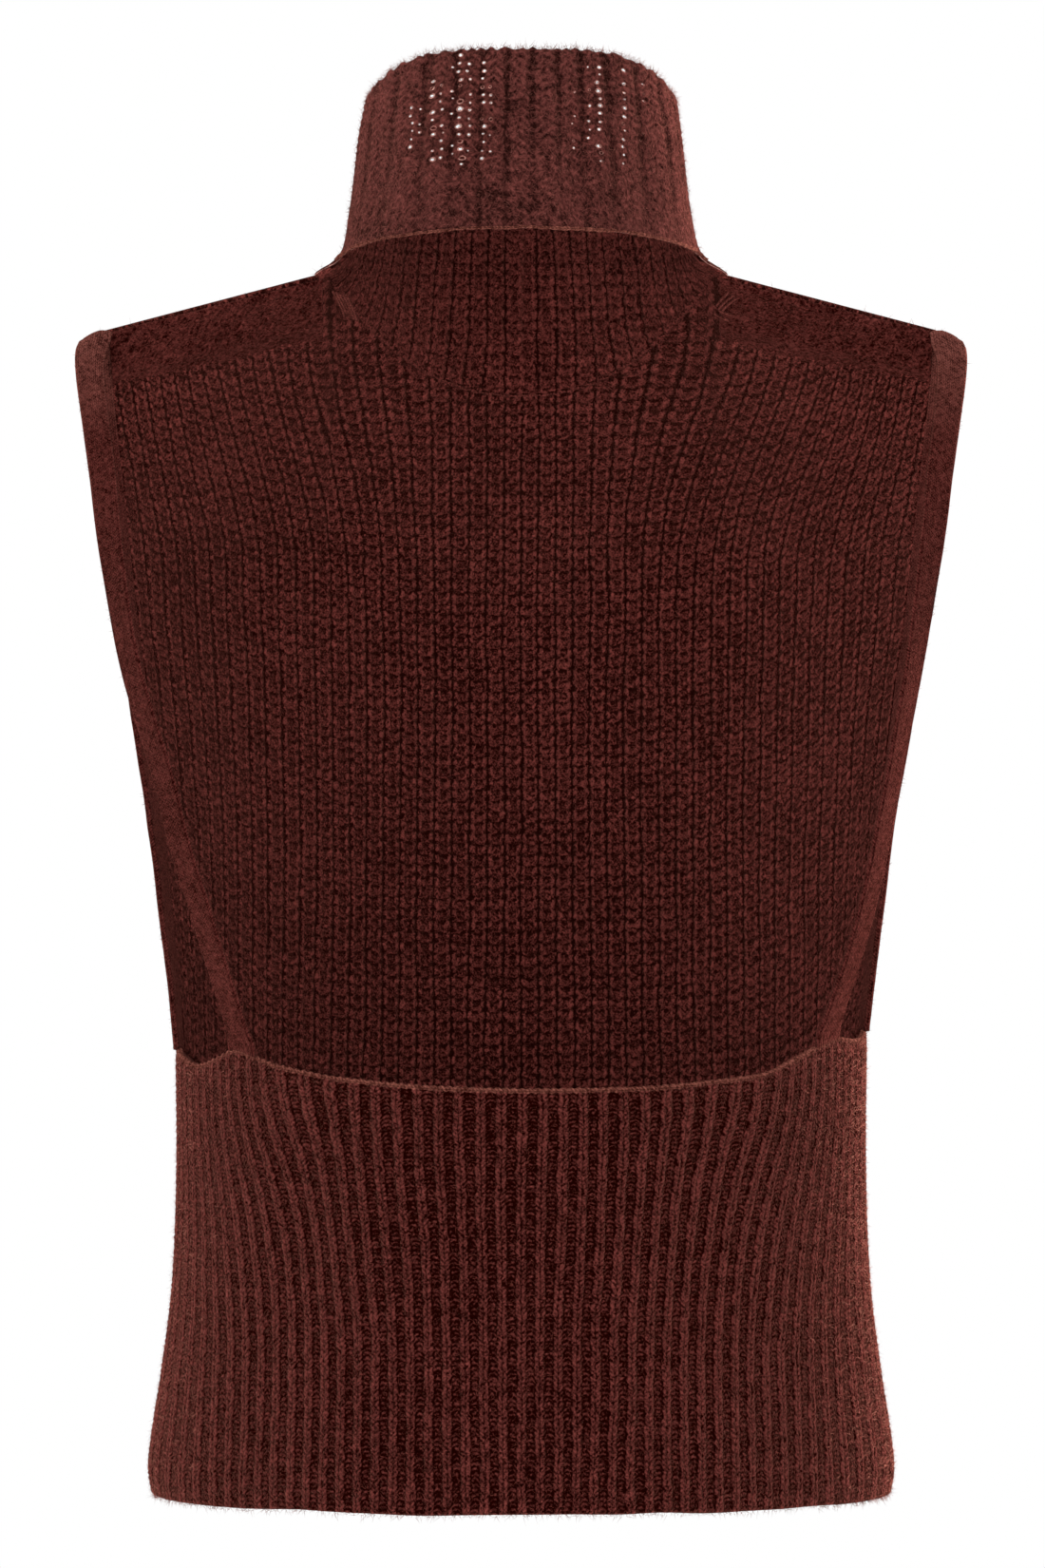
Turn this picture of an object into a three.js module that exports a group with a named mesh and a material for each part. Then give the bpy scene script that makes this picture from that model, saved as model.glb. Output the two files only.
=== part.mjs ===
// Backless funnel-neck knit top, filled out as when worn.
// Millimetres, +Z up, the wearer faces +Y and the wearer's right hand is at +X.
// Heights in the tables are measured up from the hem. The origin is the middle of the
// neck base, HOLD_HEIGHT above the hem, where the wearer's neck and shoulders hold the top.
import * as THREE from 'three';

// Driving dimensions
const HOLD_HEIGHT = 527;
const SEAM_GAP = 0.3;
const PANEL_FOOT_GAP = 0.5;
const SEAT_GAP = 0.9;
const PANEL_THICK = 3.0;
const RIB_THICK = 3.4;
const COLLAR_THICK = 3.4;
const HEM_THICK = 2.0;
const BAND_THICK = 2.6;
const BAND_WIDTH = 12;
const HEM_RISE = 0.94;
const HEM_INSET = 0.02;

// Waistband tube, outer surface
const WAISTBAND = [
  { height: 0, halfWidth: 159.4, halfDepth: 98.0 },
  { height: 12, halfWidth: 160.8, halfDepth: 98.8 },
  { height: 30, halfWidth: 158.8, halfDepth: 97.6 },
  { height: 50, halfWidth: 155.6, halfDepth: 95.8 },
  { height: 90, halfWidth: 150.6, halfDepth: 93.2 },
  { height: 140, halfWidth: 148.6, halfDepth: 92.2 },
  { height: 200, halfWidth: 149.0, halfDepth: 92.0 },
];

// Free top edge of the back waistband. turn is degrees round from the centre back.
// It rises to a peak under each strap and dips to the bottom of each armhole.
const BACK_EDGE = [
  { turn: 0, left: 177.0, right: 177.0 },
  { turn: 15, left: 178.2, right: 177.4 },
  { turn: 25, left: 180.1, right: 178.3 },
  { turn: 32, left: 181.7, right: 179.9 },
  { turn: 38, left: 183.8, right: 181.0 },
  { turn: 44, left: 186.2, right: 182.7 },
  { turn: 50, left: 189.7, right: 187.3 },
  { turn: 55, left: 192.3, right: 191.2 },
  { turn: 61, left: 188.4, right: 195.1 },
  { turn: 66, left: 185.6, right: 196.8 },
  { turn: 70, left: 185.2, right: 196.0 },
  { turn: 76, left: 186.7, right: 195.4 },
  { turn: 82, left: 188.8, right: 196.4 },
  { turn: 90, left: 191.0, right: 199.0 },
];
const FRONT_EDGE_MIDDLE = 160;
const FRONT_EDGE_CURVE = 6;

// Front panel, outer surface. Each section is an arc of an ellipse: wrap is the angle from
// the centre front to the armhole edge, edge is how far forward that edge lies.
const PANEL = [
  { height: 160, halfWidth: 148.4, edge: 8, front: 92, wrap: 85 },
  { height: 195, halfWidth: 148.4, edge: 8, front: 92, wrap: 85 },
  { height: 230, halfWidth: 151.8, edge: 13, front: 95, wrap: 82 },
  { height: 280, halfWidth: 156.8, edge: 21, front: 100, wrap: 76 },
  { height: 330, halfWidth: 163.2, edge: 29, front: 105, wrap: 69 },
  { height: 380, halfWidth: 170.0, edge: 34, front: 106, wrap: 61 },
  { height: 430, halfWidth: 174.6, edge: 36, front: 104, wrap: 54 },
  { height: 470, halfWidth: 177.6, edge: 36, front: 100, wrap: 49 },
  { height: 500, halfWidth: 179.0, edge: 35, front: 97, wrap: 46 },
  { height: 530, halfWidth: 179.4, edge: 34, front: 95, wrap: 45 },
];
const SIDE_STITCH_SPREAD = 0.1;
const SHOULDER_TURN = 120;
const SHOULDER_TURN_POWER = 1.5;

// Shoulder line and neckline
const NECK_HALF_WIDTH = 85.6;
const NECK_FRONT_DEPTH = 68;
const NECK_ROUND = 0.6;
const NECK_SIDE_HEIGHT = 526.8;
const NECK_DROP = 49;
const NECK_DROP_CURVE = 2.3;
const SHOULDER_SLOPE = 0.263;

// Collar rings, outer surface, with a short flare where it leaves the shoulders
const COLLAR = [
  { height: 477, halfWidth: 80.0, back: 64, front: 67.0 },
  { height: 527, halfWidth: 77.4, back: 63, front: 63.0 },
  { height: 537, halfWidth: 76.2, back: 62.6, front: 62.4 },
  { height: 545, halfWidth: 74.8, back: 62, front: 62.0 },
  { height: 560, halfWidth: 72.4, back: 61.4, front: 61.4 },
  { height: 587, halfWidth: 69.2, back: 60.4, front: 60.6 },
  { height: 602, halfWidth: 67.0, back: 60, front: 60.2 },
  { height: 618, halfWidth: 65.8, back: 59.4, front: 59.6 },
];
const COLLAR_LEAN = 0.11;
const COLLAR_LEAN_START = 530;
const COLLAR_TOP_SIDE = 603.5;
const COLLAR_TOP_BACK_RISE = 15;
const COLLAR_TOP_FRONT_RISE = 11;
const COLLAR_BACK_EDGE = 541;
const COLLAR_BACK_EDGE_FALL = 6;
const COLLAR_BACK_EDGE_CURVE = 3;
const COLLAR_TOP_CURVE = 5;
const COLLAR_SIDE_STEP = 7.6;
const COLLAR_STEP_FROM = 72;
const FLARE_HEIGHT_SIDE = 3.2;
const FLARE_HEIGHT_FRONT = 22;
const FLARE_CURVE = 4;

// Armhole band where it runs down the back as a strap: the centre of the band. back is how
// far behind the middle it lies, turn how far its face has turned towards the side.
const STRAP = {
  left: [
    { height: 498.4, out: 185.2, back: 4.0, turn: 0 },
    { height: 492.0, out: 186.0, back: 10.0, turn: 0 },
    { height: 480, out: 185.2, back: 15, turn: 6 },
    { height: 459, out: 182.0, back: 23, turn: 13 },
    { height: 438, out: 178.8, back: 32, turn: 18 },
    { height: 417, out: 176.0, back: 40, turn: 24 },
    { height: 396, out: 172.8, back: 48, turn: 32 },
    { height: 375, out: 169.2, back: 54, turn: 38 },
    { height: 355, out: 165.0, back: 58, turn: 40 },
    { height: 336, out: 159.6, back: 61, turn: 40 },
    { height: 308, out: 150.8, back: 64, turn: 38 },
    { height: 280, out: 143.8, back: 65, turn: 36 },
    { height: 254, out: 135.9, back: 64, turn: 36 },
    { height: 228, out: 128.0, back: 61, turn: 37 },
    { height: 206, out: 121.4, back: 56.2, turn: 38 },
    { height: 194, out: 118.0, back: 54.0, turn: 39 },
  ],
  right: [
    { height: 498.4, out: 185.2, back: 4.0, turn: 0 },
    { height: 492.0, out: 186.0, back: 10.0, turn: 0 },
    { height: 480, out: 185.2, back: 15, turn: 6 },
    { height: 459, out: 182.0, back: 23, turn: 13 },
    { height: 438, out: 178.8, back: 32, turn: 20 },
    { height: 417, out: 176.0, back: 40, turn: 26 },
    { height: 396, out: 172.8, back: 47, turn: 34 },
    { height: 375, out: 169.4, back: 52, turn: 42 },
    { height: 355, out: 166.2, back: 55, turn: 48 },
    { height: 336, out: 162.6, back: 57, turn: 50 },
    { height: 308, out: 157.4, back: 59, turn: 51 },
    { height: 280, out: 151.9, back: 59, turn: 51 },
    { height: 254, out: 146.3, back: 57, turn: 51 },
    { height: 228, out: 139.2, back: 52, turn: 50 },
    { height: 208, out: 133.0, back: 45.6, turn: 49 },
    { height: 199, out: 130.2, back: 43.6, turn: 49 },
  ],
};
const STRAP_DROOP = 0.34;
const DROOP_FROM = 459;
const DROOP_HEIGHT = 40;
const CREST_RISE = 0.958;
const BAND_EDGE_BEVEL = 1.0;

// Mesh fineness
const NECK_COLUMNS = 20;
const SHOULDER_COLUMNS = 8;
const PANEL_ROWS = 19;
const WAIST_COLUMNS = 26;
const WAIST_ROWS = 8;
const COLLAR_COLUMNS = 44;
const COLLAR_ROWS = 11;
const COLLAR_ROW_CROWDING = 1.5;
const HEM_ROWS = 2;
const BAND_FRONT_STATIONS = 12;
const BAND_STEPS = 56;
const SECTION_SAMPLES = 48;
const NORMAL_STEP = 0.002;
const BAND_FACING_REACH = 0.99;
const BAND_TENSION = 0.5;
const HALVINGS = 30;

const YARN = { color: 0x4a1e1a, roughness: 0.95, metalness: 0 };
const BAND_YARN = { color: 0x5a2c27, roughness: 0.93, metalness: 0 };

const radians = THREE.MathUtils.degToRad;
const radiansToDegrees = THREE.MathUtils.radToDeg;
const lerp = THREE.MathUtils.lerp;
const smooth = (value) => THREE.MathUtils.smoothstep(value, 0, 1);

// Value of one column of a table at a place along its first column, on a smooth curve.
function fromTable(rows, along, column, place) {
  const last = rows.length - 1;
  const rising = rows[last][along] > rows[0][along];
  let i = 0;
  while (i < last - 1 && (rising ? rows[i + 1][along] < place : rows[i + 1][along] > place)) {
    i += 1;
  }
  const slopeAt = (k) => {
    const a = rows[Math.max(k - 1, 0)];
    const b = rows[Math.min(k + 1, last)];
    return (b[column] - a[column]) / (b[along] - a[along]);
  };
  const span = rows[i + 1][along] - rows[i][along];
  const t = THREE.MathUtils.clamp((place - rows[i][along]) / span, 0, 1);
  const t2 = t * t;
  const t3 = t2 * t;
  return (
    (2 * t3 - 3 * t2 + 1) * rows[i][column] +
    (t3 - 2 * t2 + t) * span * slopeAt(i) +
    (3 * t2 - 2 * t3) * rows[i + 1][column] +
    (t3 - t2) * span * slopeAt(i + 1)
  );
}

// Height of the waistband's top edge; side is -1 (left) or 1 (right).
function backEdgeHeight(turn, side) {
  return fromTable(BACK_EDGE, 'turn', side < 0 ? 'left' : 'right', turn);
}

function frontEdgeHeight(x) {
  const reach = Math.min(Math.abs(x) / WAISTBAND[WAISTBAND.length - 1].halfWidth, 1);
  const seam = backEdgeHeight(90, Math.sign(x));
  return lerp(FRONT_EDGE_MIDDLE, seam, Math.pow(reach, FRONT_EDGE_CURVE));
}

// Waistband surface; turn runs from -90 to 90 degrees round from the centre of its half.
function waistbandPoint(turn, rise, isFront) {
  const angle = radians(turn);
  const topWidth = WAISTBAND[WAISTBAND.length - 1].halfWidth;
  const top = isFront
    ? frontEdgeHeight(topWidth * Math.sin(angle))
    : backEdgeHeight(Math.abs(turn), Math.sign(turn));
  const height = top * rise;
  const halfWidth = fromTable(WAISTBAND, 'height', 'halfWidth', height);
  const halfDepth = fromTable(WAISTBAND, 'height', 'halfDepth', height);
  const y = (isFront ? 1 : -1) * halfDepth * Math.cos(angle);
  return new THREE.Vector3(halfWidth * Math.sin(angle), y, height);
}

// One half of a panel section, from the centre front to the armhole edge, at even steps of
// its own length; across runs from 0 to 1.
function panelSection(height, across) {
  const halfWidth = fromTable(PANEL, 'height', 'halfWidth', height);
  const edge = fromTable(PANEL, 'height', 'edge', height);
  const front = fromTable(PANEL, 'height', 'front', height);
  const wrap = radians(fromTable(PANEL, 'height', 'wrap', height));
  const at = (angle) => ({
    x: (halfWidth * Math.sin(angle)) / Math.sin(wrap),
    y: edge + ((front - edge) * (Math.cos(angle) - Math.cos(wrap))) / (1 - Math.cos(wrap)),
  });
  const lengths = [0];
  for (let i = 1; i <= SECTION_SAMPLES; i += 1) {
    const a = at((wrap * (i - 1)) / SECTION_SAMPLES);
    const b = at((wrap * i) / SECTION_SAMPLES);
    lengths.push(lengths[i - 1] + Math.hypot(b.x - a.x, b.y - a.y));
  }
  const target = across * lengths[SECTION_SAMPLES];
  let k = 1;
  while (k < SECTION_SAMPLES && lengths[k] < target) {
    k += 1;
  }
  const part = (target - lengths[k - 1]) / (lengths[k] - lengths[k - 1]);
  return at((wrap * (k - 1 + part)) / SECTION_SAMPLES);
}

// Stitches lie a little wider towards the armholes as the panel widens upwards.
function stitchSpread(across, rise) {
  const spread = SIDE_STITCH_SPREAD * rise;
  return across * (1 - spread + spread * across * across);
}

function topEdgeHeight(x) {
  const out = Math.abs(x);
  if (out >= NECK_HALF_WIDTH) {
    return NECK_SIDE_HEIGHT - SHOULDER_SLOPE * (out - NECK_HALF_WIDTH);
  }
  return NECK_SIDE_HEIGHT - NECK_DROP * (1 - Math.pow(out / NECK_HALF_WIDTH, NECK_DROP_CURVE));
}

function topEdgeDepth(x) {
  const out = Math.abs(x) / NECK_HALF_WIDTH;
  return out >= 1 ? 0 : NECK_FRONT_DEPTH * Math.pow(1 - out * out, NECK_ROUND);
}

// Front panel surface; across runs from -1 (left armhole) to 1, rise from 0 to 1.
function panelPoint(across, rise) {
  const side = Math.sign(across) || 1;
  const reach = stitchSpread(Math.min(Math.abs(across), 1), rise);
  const topX = panelSection(NECK_SIDE_HEIGHT, stitchSpread(Math.min(Math.abs(across), 1), 1)).x;
  const footX = panelSection(FRONT_EDGE_MIDDLE, Math.min(Math.abs(across), 1)).x;
  const top = topEdgeHeight(topX);
  const foot = frontEdgeHeight(side * footX) + PANEL_FOOT_GAP;
  const height = lerp(foot, top, rise);
  const section = panelSection(height, reach);
  const turned = THREE.MathUtils.clamp((height - top + SHOULDER_TURN) / SHOULDER_TURN, 0, 1);
  const y = lerp(section.y, topEdgeDepth(topX), Math.pow(turned, SHOULDER_TURN_POWER));
  return new THREE.Vector3(side * section.x, y, height);
}

// Lower edge of the collar; turn is degrees round from the centre back, 0 to 180.
function collarFoot(turn) {
  const reach = Math.sin(radians(turn));
  if (turn > 90) {
    return topEdgeHeight(NECK_HALF_WIDTH * reach) + SEAM_GAP;
  }
  const step = COLLAR_SIDE_STEP * smooth((turn - COLLAR_STEP_FROM) / (90 - COLLAR_STEP_FROM));
  return COLLAR_BACK_EDGE - COLLAR_BACK_EDGE_FALL * Math.pow(reach, COLLAR_BACK_EDGE_CURVE) - step;
}

function collarPoint(turn, rise) {
  const around = Math.abs(turn);
  const isFront = around > 90;
  const reach = Math.sin(radians(around));
  const foot = collarFoot(around);
  const topRise = isFront ? COLLAR_TOP_FRONT_RISE : COLLAR_TOP_BACK_RISE;
  const top = COLLAR_TOP_SIDE + topRise * (1 - Math.pow(reach, COLLAR_TOP_CURVE));
  const height = lerp(foot, top, rise);
  const up = height - foot;
  const frontFade = lerp(FLARE_HEIGHT_FRONT, FLARE_HEIGHT_SIDE, reach ** FLARE_CURVE);
  const fade = isFront ? frontFade : FLARE_HEIGHT_SIDE;
  const sideways = isFront ? 1 : smooth((around - COLLAR_STEP_FROM) / (90 - COLLAR_STEP_FROM));
  const flare = sideways * Math.exp(-up / fade);
  const footWidth = fromTable(COLLAR, 'height', 'halfWidth', foot);
  const halfWidth =
    fromTable(COLLAR, 'height', 'halfWidth', height) + flare * (NECK_HALF_WIDTH - footWidth);
  const ringDepth = fromTable(COLLAR, 'height', isFront ? 'front' : 'back', height);
  const ringY = -ringDepth * Math.cos(radians(around));
  const seamY = isFront ? topEdgeDepth(NECK_HALF_WIDTH * reach) : ringY;
  const lean = COLLAR_LEAN * Math.max(height - COLLAR_LEAN_START, 0);
  const y = lerp(ringY + lean, seamY, isFront ? flare : 0);
  return new THREE.Vector3(Math.sign(turn || 1) * halfWidth * reach, y, height);
}

// Outward unit normal of a surface given as point(across, rise).
function normalAt(point, across, rise, limits) {
  const a0 = Math.max(across - NORMAL_STEP * limits.span, limits.low);
  const a1 = Math.min(across + NORMAL_STEP * limits.span, limits.high);
  const r0 = Math.max(rise - NORMAL_STEP, 0);
  const r1 = Math.min(rise + NORMAL_STEP, 1);
  const alongAcross = point(a1, rise).sub(point(a0, rise));
  const alongRise = point(across, r1).sub(point(across, r0));
  return alongAcross.cross(alongRise).normalize();
}

// Closed wall between an outer grid of points and an inner one.
function wallMesh(outer, inner, isRing) {
  const columns = outer.length;
  const rows = outer[0].length;
  const positions = [];
  for (const grid of [outer, inner]) {
    for (const column of grid) {
      for (const point of column) {
        positions.push(point.x, point.y, point.z);
      }
    }
  }
  const indices = [];
  const index = (layer, c, r) => (layer * columns + (c % columns)) * rows + r;
  const quad = (a, b, c, d) => indices.push(a, b, c, a, c, d);
  const steps = isRing ? columns : columns - 1;
  for (let c = 0; c < steps; c += 1) {
    for (let r = 0; r < rows - 1; r += 1) {
      quad(index(0, c, r), index(0, c + 1, r), index(0, c + 1, r + 1), index(0, c, r + 1));
      quad(index(1, c, r), index(1, c, r + 1), index(1, c + 1, r + 1), index(1, c + 1, r));
    }
    quad(index(1, c, 0), index(1, c + 1, 0), index(0, c + 1, 0), index(0, c, 0));
    const r = rows - 1;
    quad(index(0, c, r), index(0, c + 1, r), index(1, c + 1, r), index(1, c, r));
  }
  for (let r = 0; r < rows - 1 && !isRing; r += 1) {
    const c = columns - 1;
    quad(index(0, 0, r), index(0, 0, r + 1), index(1, 0, r + 1), index(1, 0, r));
    quad(index(0, c, r), index(1, c, r), index(1, c, r + 1), index(0, c, r + 1));
  }
  return closedGeometry(positions, indices);
}

// Geometry with its faces turned outwards.
function closedGeometry(positions, indices) {
  let volume = 0;
  const corner = (i) => new THREE.Vector3().fromArray(positions, 3 * i);
  for (let i = 0; i < indices.length; i += 3) {
    volume += corner(indices[i]).dot(corner(indices[i + 1]).cross(corner(indices[i + 2])));
  }
  if (volume < 0) {
    indices.reverse();
  }
  const geometry = new THREE.BufferGeometry();
  geometry.setAttribute('position', new THREE.Float32BufferAttribute(positions, 3));
  geometry.setIndex(indices);
  geometry.computeVertexNormals();
  return geometry;
}

// Wall of even thickness inside a surface. depth is how far in its outer face lies, and a
// level wall is measured straight inwards, whatever its slope.
function wallOn(point, acrossSteps, riseSteps, thickness, options) {
  const { outward, depth = 0, isRing = false, isLevel = false } = options;
  const low = acrossSteps[0];
  const high = acrossSteps[acrossSteps.length - 1];
  const limits = isRing
    ? { low: -Infinity, high: Infinity, span: 360 }
    : { low, high, span: high - low };
  const layer = (inset) =>
    acrossSteps.map((across) =>
      riseSteps.map((rise) => {
        const normal = normalAt(point, across, rise, limits);
        if (isLevel) {
          normal.setZ(0).normalize();
        }
        return point(across, rise).addScaledVector(normal, -inset * outward);
      }),
    );
  return wallMesh(layer(depth), layer(depth + thickness), isRing);
}

const evenSteps = (low, high, count) =>
  Array.from({ length: count + 1 }, (_, i) => lerp(low, high, i / count));

function waistbandHalf(isFront, turns) {
  const point = (turn, rise) => waistbandPoint(turn, rise, isFront);
  const rises = evenSteps(0, 1, WAIST_ROWS);
  const outward = isFront ? -1 : 1;
  return wallOn(point, turns, rises, RIB_THICK, { outward, isLevel: true });
}

const seamTurn = () => 90 - radiansToDegrees(SEAM_GAP / 2 / WAISTBAND[0].halfDepth);
const backTurns = () => evenSteps(-seamTurn(), seamTurn(), WAIST_COLUMNS);

// The front waistband's columns stand under the front panel's.
function frontTurns() {
  const topWidth = WAISTBAND[WAISTBAND.length - 1].halfWidth;
  const feet = panelAcrosses().map((across) => Math.asin(panelPoint(across, 0).x / topWidth));
  return [-seamTurn(), ...feet.map(radiansToDegrees), seamTurn()];
}

// Place across the panel where its top edge meets the side of the neck.
function neckAcross() {
  let low = 0;
  let high = 1;
  for (let i = 0; i < HALVINGS; i += 1) {
    const middle = (low + high) / 2;
    if (panelPoint(middle, 1).x < NECK_HALF_WIDTH) {
      low = middle;
    } else {
      high = middle;
    }
  }
  return low;
}

function panelAcrosses() {
  const neck = neckAcross();
  const leftShoulder = evenSteps(-1, -neck, SHOULDER_COLUMNS);
  const rightShoulder = evenSteps(neck, 1, SHOULDER_COLUMNS);
  return [...leftShoulder, ...evenSteps(-neck, neck, NECK_COLUMNS).slice(1, -1), ...rightShoulder];
}

const hemRises = () => evenSteps(HEM_RISE, 1, HEM_ROWS);

function frontPanel() {
  const rises = [...evenSteps(0, HEM_RISE, PANEL_ROWS), ...hemRises().slice(1)];
  return wallOn(panelPoint, panelAcrosses(), rises, PANEL_THICK, { outward: -1 });
}

function collarTube() {
  const turns = evenSteps(-180, 180, COLLAR_COLUMNS).slice(0, COLLAR_COLUMNS);
  const rises = evenSteps(0, 1, COLLAR_ROWS).map((rise) => rise ** COLLAR_ROW_CROWDING);
  const wrapped = (turn, rise) => collarPoint(((turn + 540) % 360) - 180, rise);
  return wallOn(wrapped, turns, rises, COLLAR_THICK, { outward: 1, isRing: true, isLevel: true });
}

// Turned hem inside the front panel, along one shoulder, on the panel's own columns.
function shoulderHem(side) {
  const columns = panelAcrosses().slice(-SHOULDER_COLUMNS, -1);
  const acrosses = [neckAcross() + HEM_INSET, ...columns, 1 - HEM_INSET];
  const placed = acrosses.map((across) => side * across).sort((a, b) => a - b);
  const depth = PANEL_THICK + SEAM_GAP;
  return wallOn(panelPoint, placed, hemRises(), HEM_THICK, { outward: -1, depth });
}

// Stations of an armhole band, up the edge of the front panel and down the back. Each has
// the band's centre and the direction across it, from its inner edge to its outer one.
function bandStations(side) {
  const centres = [];
  const faces = [];
  const limits = { low: -1, high: 1, span: 2 };
  for (let i = 0; i <= BAND_FRONT_STATIONS; i += 1) {
    const rise = (CREST_RISE * i) / BAND_FRONT_STATIONS;
    const edge = panelPoint(side, rise);
    const face = edge.clone().sub(panelPoint(side * BAND_FACING_REACH, rise)).normalize();
    const normal = normalAt(panelPoint, side, rise, limits);
    edge.addScaledVector(normal, PANEL_THICK / 2);
    centres.push(edge.addScaledVector(face, SEAM_GAP + BAND_WIDTH / 2));
    faces.push(face);
  }
  for (const row of STRAP[side < 0 ? 'left' : 'right']) {
    const turn = radians(row.turn);
    const droop = STRAP_DROOP * smooth((row.height - DROOP_FROM) / DROOP_HEIGHT);
    centres.push(new THREE.Vector3(side * row.out, -row.back, row.height));
    faces.push(new THREE.Vector3(side * Math.cos(turn), Math.sin(turn), -droop).normalize());
  }
  return { centres, faces };
}

// Moves the points of a band's end down or up onto the waistband's top edge.
function seatOnWaistband(ring) {
  const top = WAISTBAND[WAISTBAND.length - 1];
  for (const point of ring) {
    const isFront = point.y > 0;
    const turn = radiansToDegrees(
      Math.atan2(point.x / top.halfWidth, Math.abs(point.y) / top.halfDepth),
    );
    point.z = waistbandPoint(turn, 1, isFront).z + SEAT_GAP;
  }
}

function armholeBand(side) {
  const { centres, faces } = bandStations(side);
  const path = new THREE.CatmullRomCurve3(centres, false, 'catmullrom', BAND_TENSION);
  const facing = new THREE.CatmullRomCurve3(faces, false, 'catmullrom', BAND_TENSION);
  const half = BAND_WIDTH / 2;
  const section = [
    [-half, 0],
    [-half + BAND_EDGE_BEVEL, BAND_THICK / 2],
    [half - BAND_EDGE_BEVEL, BAND_THICK / 2],
    [half, 0],
    [half - BAND_EDGE_BEVEL, -BAND_THICK / 2],
    [-half + BAND_EDGE_BEVEL, -BAND_THICK / 2],
  ];
  const rings = evenSteps(0, 1, BAND_STEPS).map((t) => {
    const face = facing.getPoint(t).normalize();
    const outwards = path.getTangent(t).cross(face).multiplyScalar(side).normalize();
    const centre = path.getPoint(t);
    return section.map(([across, out]) =>
      centre.clone().addScaledVector(face, across).addScaledVector(outwards, out),
    );
  });
  seatOnWaistband(rings[0]);
  seatOnWaistband(rings[rings.length - 1]);
  return tubeMesh(rings);
}

// Closed tube through rings of points, with flat ends.
function tubeMesh(rings) {
  const positions = rings.flat().flatMap((point) => [point.x, point.y, point.z]);
  const count = rings[0].length;
  const last = (rings.length - 1) * count;
  const indices = [];
  for (let r = 0; r < rings.length - 1; r += 1) {
    for (let i = 0; i < count; i += 1) {
      const a = r * count + i;
      const b = r * count + ((i + 1) % count);
      indices.push(a, b, b + count, a, b + count, a + count);
    }
  }
  for (let i = 1; i < count - 1; i += 1) {
    indices.push(0, i + 1, i, last, last + i, last + i + 1);
  }
  return closedGeometry(positions, indices);
}

const garment = new THREE.Group();
garment.position.z = -HOLD_HEIGHT;

function addPiece(name, geometry, finish) {
  const mesh = new THREE.Mesh(geometry, new THREE.MeshStandardMaterial(finish));
  mesh.name = name;
  garment.add(mesh);
}

addPiece('front_panel', frontPanel(), YARN);
addPiece('front_waistband', waistbandHalf(true, frontTurns()), YARN);
addPiece('back_waistband', waistbandHalf(false, backTurns()), YARN);
addPiece('collar', collarTube(), YARN);
for (const [name, side] of [['left', -1], ['right', 1]]) {
  addPiece(`shoulder_hem_${name}`, shoulderHem(side), YARN);
  addPiece(`armhole_band_${name}`, armholeBand(side), BAND_YARN);
}

const part = new THREE.Group();
part.add(garment);

export default part;
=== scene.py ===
"""Backless funnel-neck knit top, filled out as when worn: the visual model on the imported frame.

Shapes are worked out in millimetres, with heights measured up from the hem, on the same
surfaces as the CAD solids, and are moved to the shared frame in metres when they are built.
"""

import math

import bpy
import numpy as np
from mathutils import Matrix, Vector


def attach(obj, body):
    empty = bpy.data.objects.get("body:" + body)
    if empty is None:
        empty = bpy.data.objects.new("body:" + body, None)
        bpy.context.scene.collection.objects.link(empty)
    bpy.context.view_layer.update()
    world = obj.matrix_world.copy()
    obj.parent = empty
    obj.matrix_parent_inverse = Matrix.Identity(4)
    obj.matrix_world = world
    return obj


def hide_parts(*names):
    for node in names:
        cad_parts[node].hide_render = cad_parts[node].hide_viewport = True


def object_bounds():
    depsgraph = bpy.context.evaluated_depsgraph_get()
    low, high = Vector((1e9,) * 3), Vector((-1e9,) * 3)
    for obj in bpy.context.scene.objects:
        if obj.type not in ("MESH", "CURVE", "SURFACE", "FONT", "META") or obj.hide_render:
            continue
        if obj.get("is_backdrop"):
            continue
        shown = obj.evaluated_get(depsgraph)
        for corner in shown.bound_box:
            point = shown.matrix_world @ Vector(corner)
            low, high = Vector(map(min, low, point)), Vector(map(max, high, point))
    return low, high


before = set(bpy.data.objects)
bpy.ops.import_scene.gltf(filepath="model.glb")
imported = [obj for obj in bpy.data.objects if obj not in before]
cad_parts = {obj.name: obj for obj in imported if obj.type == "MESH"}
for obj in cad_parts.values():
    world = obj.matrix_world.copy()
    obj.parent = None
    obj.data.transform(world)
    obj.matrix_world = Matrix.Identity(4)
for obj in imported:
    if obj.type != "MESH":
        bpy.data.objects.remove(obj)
cad_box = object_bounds()

MM = 0.001
TAU = 2 * math.pi
HOLD_HEIGHT = 527.0

# ---------------------------------------------------------------- sizes of the garment

PANEL_THICK = 3.0
RIB_THICK = 3.4
COLLAR_THICK = 3.4
HEM_THICK = 2.0
BAND_THICK = 2.6
BAND_WIDTH = 12.0
SEAM_GAP = 0.3
PANEL_FOOT_GAP = 0.5
HEM_RISE = 0.94

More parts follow.
